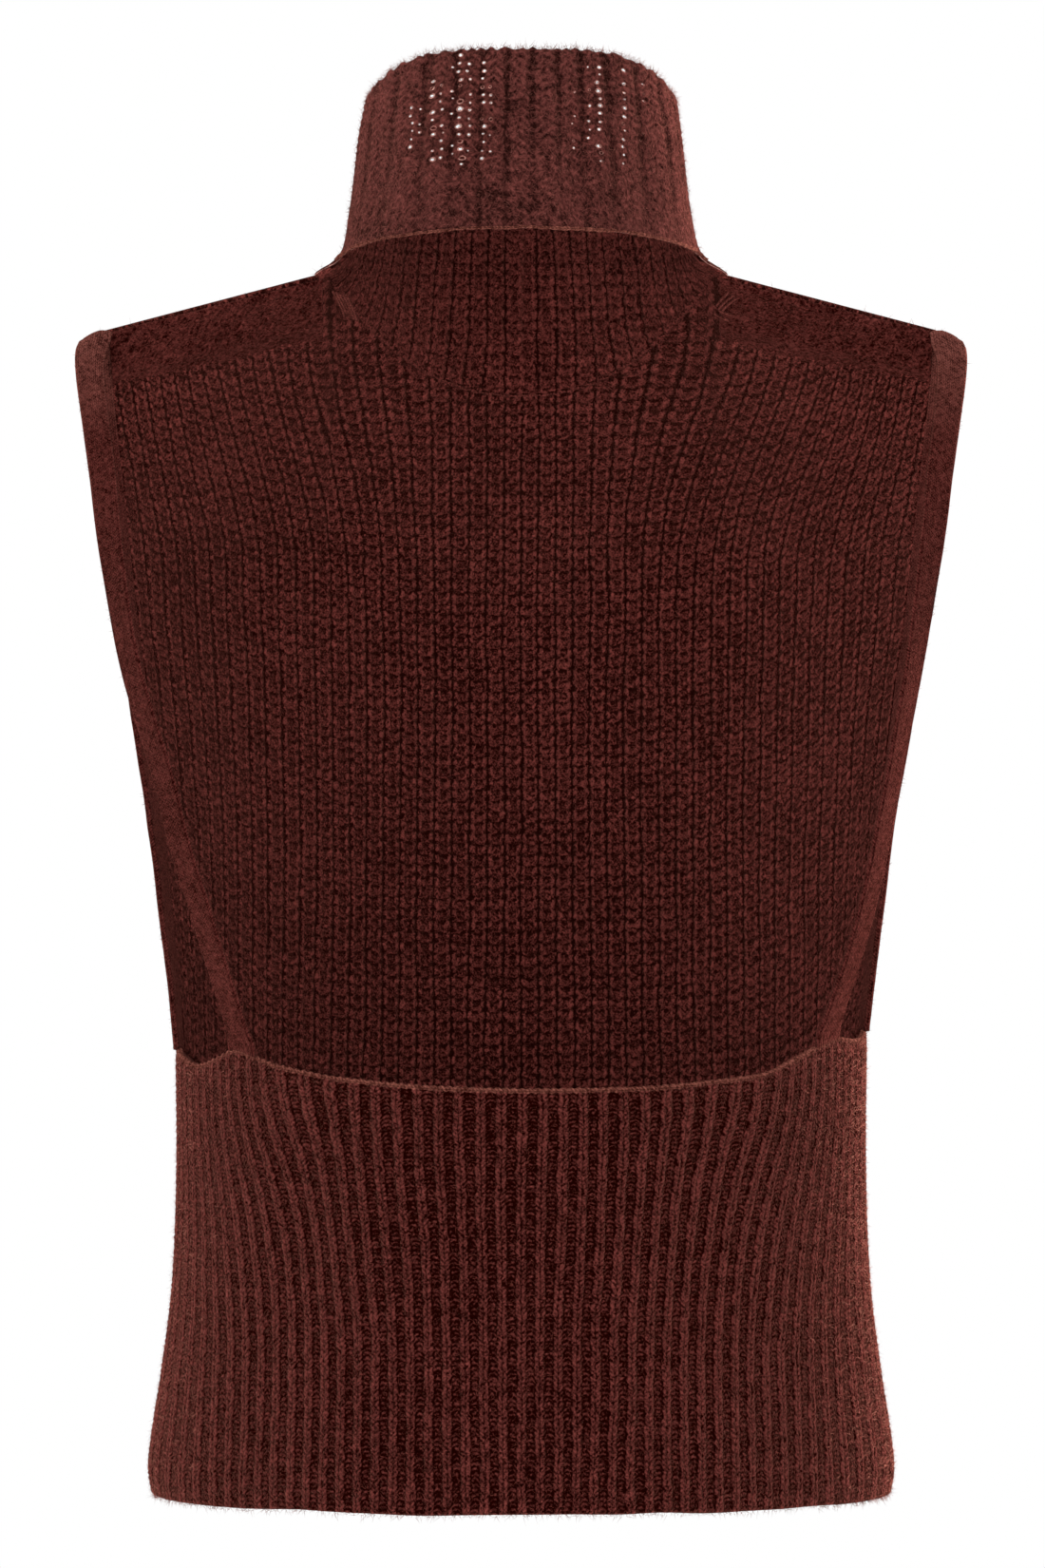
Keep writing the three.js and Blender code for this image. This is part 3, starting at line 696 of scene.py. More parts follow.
def knit_material(
    name, relief, deep, light, bump=0.9, hair=0.3, contrast=0.5, haze=-0.1, grain=1.0, size=1.0,
    loose=0.4, painted_highlight_above=None, patches=0.5, sheen=(0.13, 0.26),
):
    """Yarn coloured with painted shade, dark in the gaps and light on the stitches, with loose fibres
    across.

    hair, contrast, grain and patches are the strengths of single fibres, of the painted shade and
    light of the stitches, of the spun yarn and of large clouds of tone; haze lightens all; size is the
    fibres'; loose moves stitches about; painted_highlight_above is a height in the frame above which a
    painted highlight makes the yarn paler; sheen is a weight and a roughness.
    """
    material, tree, shader = material_with(name)
    uv = new_output(tree, "UVMap", uv_map=UV_NAME)
    u, v, _ = split_vector(tree, uv)
    place = object_place(tree)
    wool = wool_noise(tree, place, size)
    lumps = noise_node(tree, place, LUMP_SCALE / size, 2.0, 0.5)
    clouds = noise_node(tree, place, CLOUD_SCALE, 3.0, 0.6)
    hairs = hair_lines(tree, place, HAIR_SCALE / size, HAIR_TILTS)
    wobble = (lumps - 0.5) * loose
    height = relief(u + wobble * 0.5, v + wobble)
    # Painted shade and light: the tone follows the relief's height, darker in the gaps between stitches and
    # lighter on their tops; wool, lumps, clouds and each stitch's noise add the yarn's own random tone.
    tone = height * contrast + wool * grain * (0.5 + 0.8 * height) + hairs * hair * (0.3 + 0.7 * height)
    tone = tone + (lumps - 0.5) * grain * 0.4 + (clouds - 0.5) * patches + haze
    tone = clamped(tone + (stitch_noise(tree, uv) - 0.5) * 0.12)
    # Painted highlight: glints on the fibre lines, mixed towards a paler copy of the light colour.
    glint = clamped((hairs - 0.6) * 2.5) * tone
    painted_glint_colour = tuple(c * 1.8 for c in light)
    base = mixed(tree, glint * 0.6, mixed(tree, tone, deep, light), painted_glint_colour)
    # Painted highlight: above the given height the yarn turns paler, where a band turns up over the shoulder
    # into the light.
    if painted_highlight_above is not None:
        up = clamped((split_vector(tree, place)[2] - painted_highlight_above) * 20.0)
        base = mixed(tree, up * (tone * 0.9 + 0.1), base, PAINTED_TIP_HIGHLIGHT)
    bumps = {"Height": height + wool * 1.2 + hairs * 0.6, "Strength": 1.0, "Distance": bump * MM}
    fill(tree, shader, {
        "Base Color": base, "Normal": new_output(tree, "Bump", bumps), "Roughness": 0.85 + wool * 0.2,
        "Specular IOR Level": 0.0, "Sheen Weight": sheen[0], "Sheen Roughness": sheen[1],
        "Sheen Tint": SHEEN_TINT,
    })
    return material


def fibre_material(name, low, high):
    material, tree, shader = material_with(name)
    place = object_place(tree)
    tone = noise_node(tree, place, 420.0, 2.0, 0.6)
    bumps = {"Height": noise_node(tree, place, 4000.0), "Distance": 0.02 * MM}
    fill(tree, shader, {
        "Base Color": mixed(tree, clamped((tone - 0.3) * 2.5), low, high), "Roughness": 0.7,
        "Normal": new_output(tree, "Bump", bumps), "Specular IOR Level": 0.0,
    })
    return material


# ---------------------------------------------------------------- meshes

def to_frame(points):
    moved = np.array(points, float).reshape(-1, 3)
    moved[:, 2] -= HOLD_HEIGHT
    return moved * MM


class Faces:
    """Faces with the stitch coordinates of their corners, in groups of one corner count."""

    def __init__(self):
        self.groups = []

    def add(self, corners, uvs, slot=0):
        corners = np.asarray(corners, int)
        if len(corners):
            self.groups.append((corners, np.asarray(uvs, float), slot))


def add_mesh(name, points, faces, materials):
    """Closed mesh in the shared frame, with its faces turned outwards."""
    used = np.unique(np.concatenate([c.ravel() for c, _, _ in faces.groups]))
    renumber = np.zeros(len(points), int)
    renumber[used] = np.arange(len(used))
    faces.groups = [(renumber[c], t, k) for c, t, k in faces.groups]
    place = to_frame(np.asarray(points)[used])
    volume = 0.0
    for corners, _, _ in faces.groups:
        for k in range(2, corners.shape[1]):
            a, b, c = place[corners[:, 0]], place[corners[:, k - 1]], place[corners[:, k]]
            volume += np.einsum("ij,ij->i", a, np.cross(b, c)).sum()
    turned = -1 if volume < 0 else 1
    loops = np.concatenate([c[:, ::turned].ravel() for c, _, _ in faces.groups])
    uvs = np.concatenate([t[:, ::turned].reshape(-1, 2) for _, t, _ in faces.groups])
    counts = np.concatenate([np.full(len(c), c.shape[1]) for c, _, _ in faces.groups])
    slots = np.concatenate([np.full(len(c), s) for c, _, s in faces.groups])
    mesh = bpy.data.meshes.new(name)
    mesh.vertices.add(len(place))
    mesh.vertices.foreach_set("co", place.astype(np.float32).ravel())
    mesh.loops.add(len(loops))
    mesh.loops.foreach_set("vertex_index", loops.astype(np.int32))
    mesh.polygons.add(len(counts))
    starts = np.concatenate([[0], np.cumsum(counts)[:-1]])
    mesh.polygons.foreach_set("loop_start", starts.astype(np.int32))
    mesh.update(calc_edges=True)
    layer = mesh.uv_layers.new(name=UV_NAME)
    layer.data.foreach_set("uv", uvs.astype(np.float32).ravel())
    for material in materials:
        mesh.materials.append(material)
    mesh.polygons.foreach_set("material_index", slots.astype(np.int32))
    mesh.polygons.foreach_set("use_smooth", np.ones(len(counts), bool))
    mesh.update()
    piece = bpy.data.objects.new(name, mesh)
    bpy.context.scene.collection.objects.link(piece)
    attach(piece, "root")
    return piece


def grid_normals(points, ring):
    if ring:
        along = np.roll(points, -1, 0) - np.roll(points, 1, 0)
    else:
        along = np.gradient(points, axis=0)
    normal = unit(np.cross(along, np.gradient(points, axis=1)))
    outward = (normal[..., :2] * points[..., :2]).sum()
    return normal if outward > 0 else -normal


def travel(points, axis):
    """Distance along the grid's lines from their start."""
    steps = np.linalg.norm(np.diff(points, axis=axis), axis=-1)
    start = np.zeros_like(np.take(steps, [0], axis=axis))
    return np.concatenate([start, np.cumsum(steps, axis=axis)], axis=axis)


def edge_distance(points, upright_only):
    up = travel(points, 1)
    near = np.minimum(up, up[:, -1:] - up)
    if not upright_only:
        along = travel(points, 0)
        near = np.minimum(near, np.minimum(along, along[-1:] - along))
    return near


def rounding(distance, thick):
    """How far a layer draws in near the cloth's edge, so that the edge is round."""
    radius = thick / 2 - EDGE_FLAT
    left = radius - np.minimum(distance, radius)
    return radius - np.sqrt(np.maximum(radius**2 - left**2, 0))


def steps(low, high, count, close):
    """Even steps, with a few more at small distances from both ends."""
    even = low + (high - low) * np.arange(count + 1) / count
    return np.unique(np.concatenate([even, [low + c for c in close], [high - c for c in close]]))


def layer_faces(faces, base, shape, uv, slot, ring, skip=None):
    n, m = shape
    i, j = np.meshgrid(np.arange(n if ring else n - 1), np.arange(m - 1), indexing="ij")
    if skip is not None:
        keep = ~skip
        i, j = i[keep], j[keep]
    i, j = i.ravel(), j.ravel()
    corner = lambda di, dj: base + ((i + di) % n) * m + j + dj
    quad = np.stack([corner(0, 0), corner(1, 0), corner(1, 1), corner(0, 1)], -1)
    quad_uv = np.stack([uv[i, j], uv[i + 1, j], uv[i + 1, j + 1], uv[i, j + 1]], -2)
    if slot < 0:
        quad, quad_uv, slot = quad[:, ::-1], quad_uv[:, ::-1], -slot - 1
    faces.add(quad, quad_uv, slot)


def border(base, shape, ring):
    """Loops of border vertices with their places along each side."""
    n, m = shape
    index = lambda i, j: base + i * m + j
    i, j = np.arange(n), np.arange(m)
    if ring:
        closed = np.append(i, 0)
        ahead = np.linspace(0, 1, n + 1)
        return [(index(closed, 0), ahead), (index(closed[::-1], m - 1), ahead)]
    sides = index(i, 0), index(n - 1, j)[1:], index(i, m - 1)[::-1][1:], index(0, j)[::-1][1:]
    return [(np.concatenate(sides), None)]


def side_places(params):
    """Places 0 to 4 round a rectangular border from the steps along its two directions."""
    a = (params[0] - params[0][0]) / (params[0][-1] - params[0][0])
    r = (params[1] - params[1][0]) / (params[1][-1] - params[1][0])
    return np.concatenate([a, 1 + r[1:], 2 + (1 - a[::-1])[1:], 3 + (1 - r[::-1])[1:]])


def zip_loops(first, second):
    """Triangles between two border loops of different counts."""
    (a, pa), (b, pb) = first, second
    triangles = []
    i = j = 0
    while i < len(a) - 1 or j < len(b) - 1:
        if j == len(b) - 1 or (i < len(a) - 1 and pa[i + 1] <= pb[j + 1]):
            triangles.append((a[i + 1], a[i], b[j]))
            i += 1
        else:
            triangles.append((a[i], b[j], b[j + 1]))
            j += 1
    return triangles


class Layer:
    """One side of a cloth: a grid of points with stitch coordinates."""

    def __init__(self, surface, acrosses, rises, stitches, ring=False, seamed=False):
        self.ring = ring
        self.params = (np.asarray(acrosses, float), np.asarray(rises, float))
        self.grid = np.meshgrid(*self.params, indexing="ij")
        self.points = surface(*self.grid)
        self.normals = grid_normals(self.points, ring)
        self.edge = edge_distance(self.points, ring or seamed)
        self.uv = stitches(*self.grid, self.points)

    def relief(self, shape):
        return shape(self.uv[..., 0], self.uv[..., 1])

    def moved(self, distance):
        self.points = self.points + self.normals * np.asarray(distance)[..., None]
        return self

    @property
    def shape(self):
        return self.points.shape[:2]


def cloth(name, outer, inner, materials):
    """Closed cloth between an outer layer and an inner one."""
    faces = Faces()
    base = outer.shape[0] * outer.shape[1]
    layer_faces(faces, 0, outer.shape, outer.uv, 0, outer.ring)
    layer_faces(faces, base, inner.shape, inner.uv, -2, inner.ring)
    points = np.concatenate([outer.points.reshape(-1, 3), inner.points.reshape(-1, 3)])
    flat = lambda layer: layer.uv[: layer.shape[0]].reshape(-1, 2)
    uv = np.concatenate([flat(outer), flat(inner)])
    firsts, seconds = border(0, outer.shape, outer.ring), border(base, inner.shape, inner.ring)
    for first, second in zip(firsts, seconds):
        if not outer.ring:
            first = (first[0], side_places(outer.params))
            second = (second[0], side_places(inner.params))
        triangles = np.array(zip_loops(first, second))
        faces.add(triangles, uv[triangles], 0)
    return add_mesh(name, points, faces, materials)


def ring_faces(faces, base, count, sides, at):
    """Faces between rings of points, with the stitch coordinates that at gives for a ring and a side."""
    i, k = (index.ravel() for index in np.meshgrid(np.arange(count - 1), np.arange(sides), indexing="ij"))
    ahead = (k + 1) % sides
    quad = np.stack([i * sides + k, i * sides + ahead, (i + 1) * sides + ahead, (i + 1) * sides + k], -1)
    faces.add(base + quad, np.stack([at(i, k), at(i, k + 1), at(i + 1, k + 1), at(i + 1, k)], -2))


def tubes(name, lines, widths, material, sides=8, turns=None):
    """Closed round tubes along lines of points, joined in one mesh."""
    faces = Faces()
    points = []
    for centres in lines:
        base = sum(map(len, points))
        points.append(tube_points(faces, base, np.asarray(centres, float), widths, sides, turns))
    return add_mesh(name, np.concatenate(points), faces, [material])


def tube_points(faces, base, centres, widths, sides, turns):
    """Adds a tube's faces and gives its points; turns twists it like a cord."""
    tangent = unit(np.gradient(centres, axis=0))
    side = unit(np.cross(tangent, [0.0, 0.0, 1.0]))
    up = np.cross(side, tangent)
    angle = np.arange(sides) * TAU / sides
    count = len(centres)
    radius = np.broadcast_to(np.asarray(widths, float) / 2, (count,))
    wave = 1.0
    if turns is not None:
        phase = np.asarray(turns)[:, None]
        wave = 1 + 0.28 * np.cos(2 * angle[None] + phase * TAU)
    ring = radius[:, None] * wave
    points = centres[:, None] + side[:, None] * (np.cos(angle) * ring)[..., None]
    points = points + up[:, None] * (np.sin(angle) * ring)[..., None]
    length = travel(centres, 0)
    ring_faces(faces, base, count, sides, lambda i, k: np.stack([k / sides * 2.0, length[i] / 1.6], -1))
    points = points.reshape(-1, 3)
    ends = []
    for first, rows in ((0, np.arange(sides)[::-1]), (count - 1, np.arange(sides))):
        tip = len(points) + len(ends)
        ends.append(centres[first])
        ids = first * sides + rows
        fan = np.stack([np.full(sides, tip), ids, np.roll(ids, -1)], -1)
        faces.add(base + fan, np.zeros((sides, 3, 2)))
    return np.concatenate([points, ends])


def fuzz(name, roots, normals, material, seed, length=(2.0, 4.5), lift=(0.15, 0.8), width=0.17):
    """Loose fibres, one from each given place on a surface, joined in one mesh."""
    rng = np.random.default_rng(seed)
    count = len(roots)
    along = rng.normal(size=(count, 3))
    along = unit(along - normals * np.einsum("ij,ij->i", along, normals)[:, None])
    across = np.cross(normals, along)
    size = rng.uniform(*length, (count, 1))
    rise = rng.uniform(*lift, (count, 1))
    tip = roots + along * size * np.sqrt(1 - rise**2) + normals * size * rise
    half = width / 2 * rng.uniform(0.7, 1.3, (count, 1))
    start = roots - normals * FIBRE_ROOT
    rings = [
        start + (across * math.cos(turn) + normals * math.sin(turn)) * half
        for turn in np.arange(3) * TAU / 3
    ]
    points = np.stack([*rings, tip], 1).reshape(-1, 3)
    needle = np.array([[2, 1, 0], [0, 1, 3], [1, 2, 3], [2, 0, 3]])
    corners = (np.arange(count)[:, None, None] * 4 + needle).reshape(-1, 3)
    faces = Faces()
    faces.add(corners, np.zeros((*corners.shape, 2)))
    return add_mesh(name, points, faces, [material])


def open_places(layer, seed, count, weight=None):
    """Random places on a layer, even by area, more where weight is large."""
    rng = np.random.default_rng(seed)
    p = layer.points
    size = np.linalg.norm(np.cross(p[1:, :-1] - p[:-1, :-1], p[:-1, 1:] - p[:-1, :-1]), axis=-1)
    if weight is not None:
        size = size * weight[:-1, :-1]
    chance = (size / size.sum()).ravel()
    cell = rng.choice(len(chance), count, p=chance)
    i, j = np.divmod(cell, size.shape[1])
    s, t = rng.random((2, count, 1))
    low = p[i, j] * (1 - s) + p[i + 1, j] * s
    high = p[i, j + 1] * (1 - s) + p[i + 1, j + 1] * s
    return low * (1 - t) + high * t, layer.normals[i, j]


# ---------------------------------------------------------------- yarn colours

# The DEEP colours are the dark ends of the yarns' tone: painted shade in the gaps between stitches, and the
# darker end of the yarn's own random tone.
DEEP = (0.0125, 0.0006, 0.0002)
YARN = (0.148, 0.0340, 0.0285)
SHADED_YARN = (0.128, 0.0295, 0.0245)
SOFT_DEEP = (0.018, 0.0044, 0.0036)
SOFT_YARN = (0.142, 0.0385, 0.0325)
LOOP_DEEP = (0.0155, 0.0014, 0.0009)
LOOP_YARN = (0.206, 0.0455, 0.0375)

rib_yarn = knit_material(
    "rib_knit", rib_relief, DEEP, YARN,
    hair=0.58, contrast=0.665, haze=-0.32, grain=1.65, loose=0.55, patches=0.2, sheen=(0.3, 0.15),
)
loop_yarn = knit_material(
    "cardigan_wrong_side", loop_relief, LOOP_DEEP, LOOP_YARN,
    hair=0.9, contrast=0.72, haze=-0.685, grain=1.5, size=0.75, loose=0.6, patches=0.3,
)
lining_yarn = knit_material(
    "collar_wrong_side", loop_relief, LOOP_DEEP, LOOP_YARN,
    hair=0.9, contrast=0.36, haze=-0.37, grain=1.2, size=0.75, loose=0.8, patches=0.3,
)
plain_yarn = knit_material("cardigan_right_side", plain_relief, DEEP, YARN)
collar_yarn = knit_material(
    "collar_rib", collar_relief, SOFT_DEEP, SOFT_YARN,
    hair=0.5, contrast=0.52, haze=-0.14, grain=1.3, size=1.4, loose=0.9,
)
# Pale pink yarn for the walls round the collar's holes and along its top and foot: painted light, as if
# light showed through the open stitches.
painted_light_wall_yarn = knit_material(
    "painted_light_wall_yarn", collar_relief, (0.30, 0.11, 0.09), (0.75, 0.40, 0.34), hair=0.5, haze=0.2, size=1.4,
)
# The band: a shaded copy of the yarn, painted paler above the given height as a painted highlight where it
# turns over the shoulder.
band_yarn = knit_material("band_jersey", jersey_relief, DEEP, SHADED_YARN, bump=0.5, painted_highlight_above=-0.076)
hem_yarn = knit_material(
    "brushed_hem", hem_relief, DEEP, SHADED_YARN, bump=0.6, hair=0.5, haze=-0.14, grain=1.35,
)
pale_yarn = knit_material("pale_yarn", jersey_relief, (0.030, 0.006, 0.004), (0.20, 0.052, 0.042), bump=0.3)
edge_yarn = knit_material("edge_yarn", jersey_relief, (0.04, 0.009, 0.006), (0.23, 0.075, 0.055), bump=0.3)
dark_fibre = fibre_material("fibre", (0.10, 0.020, 0.015), (0.30, 0.082, 0.062))
# Paler fibres for the waistband's sides: painted rim light.
painted_rim_light_fibre = fibre_material("painted_rim_light_fibre", (0.28, 0.095, 0.068), (0.54, 0.21, 0.155))
pale_fibre = fibre_material("pale_fibre", (0.12, 0.032, 0.025), (0.30, 0.105, 0.084))


# ---------------------------------------------------------------- waistband

def middle_distance(points):
    """Distance along each row from the middle of the grid."""
    along = travel(points, 0)
    return along - along[along.shape[0] // 2]


def rib_lean(s, height):
    """Ribs lean out towards the foot of each strap."""
    pull = np.exp(-(((np.abs(s) - STRAP_FOOT) / STRAP_PULL_SPREAD) ** 2)) * smooth(height, 95, 190) ** 1.5
    return np.sign(s) * pull * RIB_LEAN


def rib_rows(height):
    """Rows from the hem, which lie closer together higher up."""
    level = np.linspace(0, 210, 211)
    pitch = RIB_ROW_LOW + (RIB_ROW_TOP - RIB_ROW_LOW) * smooth(level, 40, 190)
    return np.interp(height, level, np.concatenate([[0], np.cumsum(1 / pitch[1:])]))


def back_stitches(turn, rise, points):
    return front_stitches(turn, rise, points, rib_lean(middle_distance(points), points[..., 2]))


def front_stitches(turn, rise, points, lean=0.0):
    """Ribs that widen towards the top near the middle, and meet the other half's at the seams."""
    s = middle_distance(points) - lean
    height = points[..., 2]
    period = RIB_SIDE_PERIOD + (RIB_TOP_PERIOD - RIB_SIDE_PERIOD) * smooth(height, 60, 170)
    widened = WIDE_RIB_REACH * np.tanh(s / WIDE_RIB_REACH)
    u = s / RIB_SIDE_PERIOD - (1 / RIB_SIDE_PERIOD - 1 / period) * widened
    seam_u = np.where(s < 0, -u[:1], u[-1:])
    u = u * (1 + smooth(np.abs(u) / seam_u, 0.6, 1.0) * (RIBS_TO_SEAM / seam_u - 1))
    u = u + 0.10 * wander(s / 34, height / 60, 11) + 0.05 * wander(s / 9, height / 16, 12)
    return np.stack([u, rib_rows(height) + 0.35 * wander(s / 24, height / 24, 13)], -1)


def waist_folds(points):
    """The waistband's soft folds, where they lean and fade in and out along its height."""
    s, height = middle_distance(points), points[..., 2]
    line = lambda at, lean: s - at - lean * (height - 90)
    return soft_folds(WAIST_FOLDS, line, height, (0, 40, 30, 10))


def waistband_cloth(name, surface, stitches, columns, rises, inner_rows, calm, slack):
    """The ribbed cloth of one half, and its outer layer.

    calm is where the ribs grow up from the edge; slack is a share of the hand-placed folds.
    """
    turns = lambda count: np.linspace(-SEAM_TURN, SEAM_TURN, count)
    outer = Layer(surface, turns(columns), rises, stitches, seamed=True)
    raised = (outer.relief(rib_relief) * RIB_HEIGHT - RIB_SINK) * (0.3 + 0.7 * smooth(outer.edge, *calm))
    outer.moved(raised + slack * waist_folds(outer.points) - rounding(outer.edge, RIB_THICK))
    inner = Layer(surface, turns(97), np.linspace(0, 1, inner_rows), stitches, seamed=True)
    inner.moved(slack * waist_folds(inner.points) - RIB_THICK + rounding(inner.edge, RIB_THICK))
    return cloth(name, outer, inner, [rib_yarn, rib_yarn]), outer


back_waist, back_layer = waistband_cloth(
    "back_waistband_knit", back_waistband, back_stitches,
    441, steps(0, 1, 165, (0.0015, 0.0035, 0.0075)), 37, (1.0, 7.0), 1.0,
)
front_waist, front_waist_layer = waistband_cloth(
    "front_waistband_knit", front_waistband, front_stitches,
    361, steps(0, 1, 72, (0.0035, 0.0075)), 31, (0.5, 4.0), 0.8,
)


# ---------------------------------------------------------------- front panel

def panel_stitches(across, rise, points):
    """Columns that fan out to the shoulders; rows lie closer together up the sides."""
    reach = np.abs(across)
    pitch = PANEL_ROW - 0.75 * smooth(reach, 0.25, 1.0) * rise + 0.7 * reach**2 * (1 - rise)
    rows = np.diff(points[..., 2], axis=1) / (0.5 * (pitch[:, 1:] + pitch[:, :-1]))
    v = np.concatenate([np.zeros_like(rows[:, :1]), np.cumsum(rows, 1)], 1)
    out = np.abs(points[..., 0])
    fan = np.where(across < 0, 2.4, 3.6) * smooth(out, 12, 105) * (1 - 0.6 * smooth(out, 125, 180))
    fan = fan * smooth(points[..., 2], 400, 512)
    u = across * PANEL_COLUMNS / 2 - np.sign(across) * fan
    u = u + 0.10 * wander(across * 9, v / 9, 21) + 0.05 * wander(across * 30, v / 3, 22)
    return np.stack([u, v + 0.22 * wander(across * 12, v / 10, 23)], -1)


def panel_folds(across, rise):
    """Soft drape of the front: lines from the shoulders, and slack above the waistband."""
    line = lambda at, lean: across - at + lean * (1 - rise)
    fold = soft_folds(PANEL_FOLDS, line, rise, (0, 0.2, 0.15, 0.05))
    return fold * (1 - smooth(np.abs(across), 0.86, 0.98)) * (1 - smooth(rise, 0.93, 0.99))


def panel_layer(columns, rows):
    return Layer(
        panel, steps(-1, 1, columns, (0.002, 0.0065)), steps(0, 1, rows, (0.001, 0.0035)), panel_stitches,
    )


panel_outer = panel_layer(200, 88)
raised = (panel_outer.relief(plain_relief) * PLAIN_HEIGHT - PLAIN_SINK) * smooth(panel_outer.edge, 0.5, 5)
panel_outer.moved(raised + panel_folds(*panel_outer.grid) - rounding(panel_outer.edge, PANEL_THICK))
panel_inner = panel_layer(276, 190)
a, r = panel_inner.grid
brushed = 1 - 0.8 * smooth(r, HEM_RISE - 0.03, HEM_RISE) * smooth(np.abs(a), 0.45, 0.5)
raised = (panel_inner.relief(loop_relief) * LOOP_HEIGHT - LOOP_SINK) * smooth(panel_inner.edge, 0.5, 4)
sunk = panel_folds(a, r) - PANEL_THICK + rounding(panel_inner.edge, PANEL_THICK)
panel_inner.moved(sunk - raised * brushed)
front = cloth("front_panel_knit", panel_outer, panel_inner, [plain_yarn, loop_yarn])


# ---------------------------------------------------------------- collar

def collar_stitches(turn, height):
    """Ribs run straight up; rows are counted down from the top edge."""
    near = np.clip(turn, -180, 180)
    around = np.abs(near)
    seen = np.sin(np.radians(np.minimum(around, 45)))
    beyond = math.cos(math.pi / 4) * np.radians(np.clip(around - 45, 0, 135))
    s = np.sign(near) * COLLAR_MEAN_RADIUS * (seen + beyond)
    u = np.interp(s, COLLAR_VALLEYS, np.arange(len(COLLAR_VALLEYS)))
    v = (COLLAR_FIRST_ROW - height) / COLLAR_ROW
    u = u + 0.08 * wander(u / 3, v / 5, 31) + 0.05 * wander(u * 1.5, v / 2, 32)
    return np.stack([u, v + 0.25 * wander(u / 2, v / 7, 33)], -1)


def collar_lining_stitches(turn, height):
    """The wrong side of the collar carries on the columns and rows of the panel's."""
    u = np.radians(turn) * COLLAR["front"][0] / COLLAR_INNER_COLUMN
    u = u + 0.12 * wander(turn / 14, height / 30, 38)
    return np.stack([u, height / PANEL_ROW + 0.25 * wander(turn / 20, height / 25, 39)], -1)


def collar_folds(turn, height):
    return soft_folds(COLLAR_FOLDS, lambda at: turn - at, height, (8, 14, 18, 4))


def collar_at(x, height, is_front):
    """Turn, rise and place of the collar's wall at a distance from the middle and a height."""
    reach = min(abs(x) / float(on_table(COLLAR, "height", "half_width", height)), 0.99)
    turn = math.degrees(math.asin(reach))
    turn = math.copysign(180 - turn if is_front else turn, x)
    foot, top = float(collar_foot(abs(turn))), float(collar_top(abs(turn)))
    rise = (height - foot) / (top - foot)
    return turn, rise, collar(np.array(turn), np.array(rise)).astype(float)


def ladder_holes():
    """Turn, rise, width and height of the holes between ribs; those of the far wall lie in line."""
    rng = np.random.default_rng(5)
    holes = []
    for x, low, high, wide, tall, share in LADDERS:
        for row in np.arange(low, high, COLLAR_ROW):
            size = rng.uniform(0.6, 1.2)
            at, height = x + rng.normal(0, 0.35), row + rng.normal(0, 0.25)
            if rng.random() > share:
                continue
            turn, rise, near = collar_at(at, height, False)
            wide_now, tall_now = wide * size, tall * size
            holes.append((turn, rise, wide_now, tall_now))
            far = near * [1, -1, 1]
            for _ in range(5):
                along = EYE + (near - EYE) * (far[1] - EYE[1]) / (near[1] - EYE[1])
                far_turn, far_rise, far = collar_at(along[0], along[2], True)
            if far_rise < 0.975:
                holes.append((far_turn, far_rise, wide_now * FAR_HOLE_WIDER, tall_now * FAR_HOLE_TALLER))
    return holes


def on_round_rim(i, j, i0, i1, j0, j1):
    """Place of a hole's border point, from -1 to 1 each way, moved from a rectangle to a round rim."""
    px = (i - (i0 + i1) / 2) / ((i1 - i0) / 2)
    py = (j - (j0 + j1) / 2) / ((j1 - j0) / 2)
    return px * math.sqrt(1 - py * py / 2), py * math.sqrt(1 - px * px / 2)


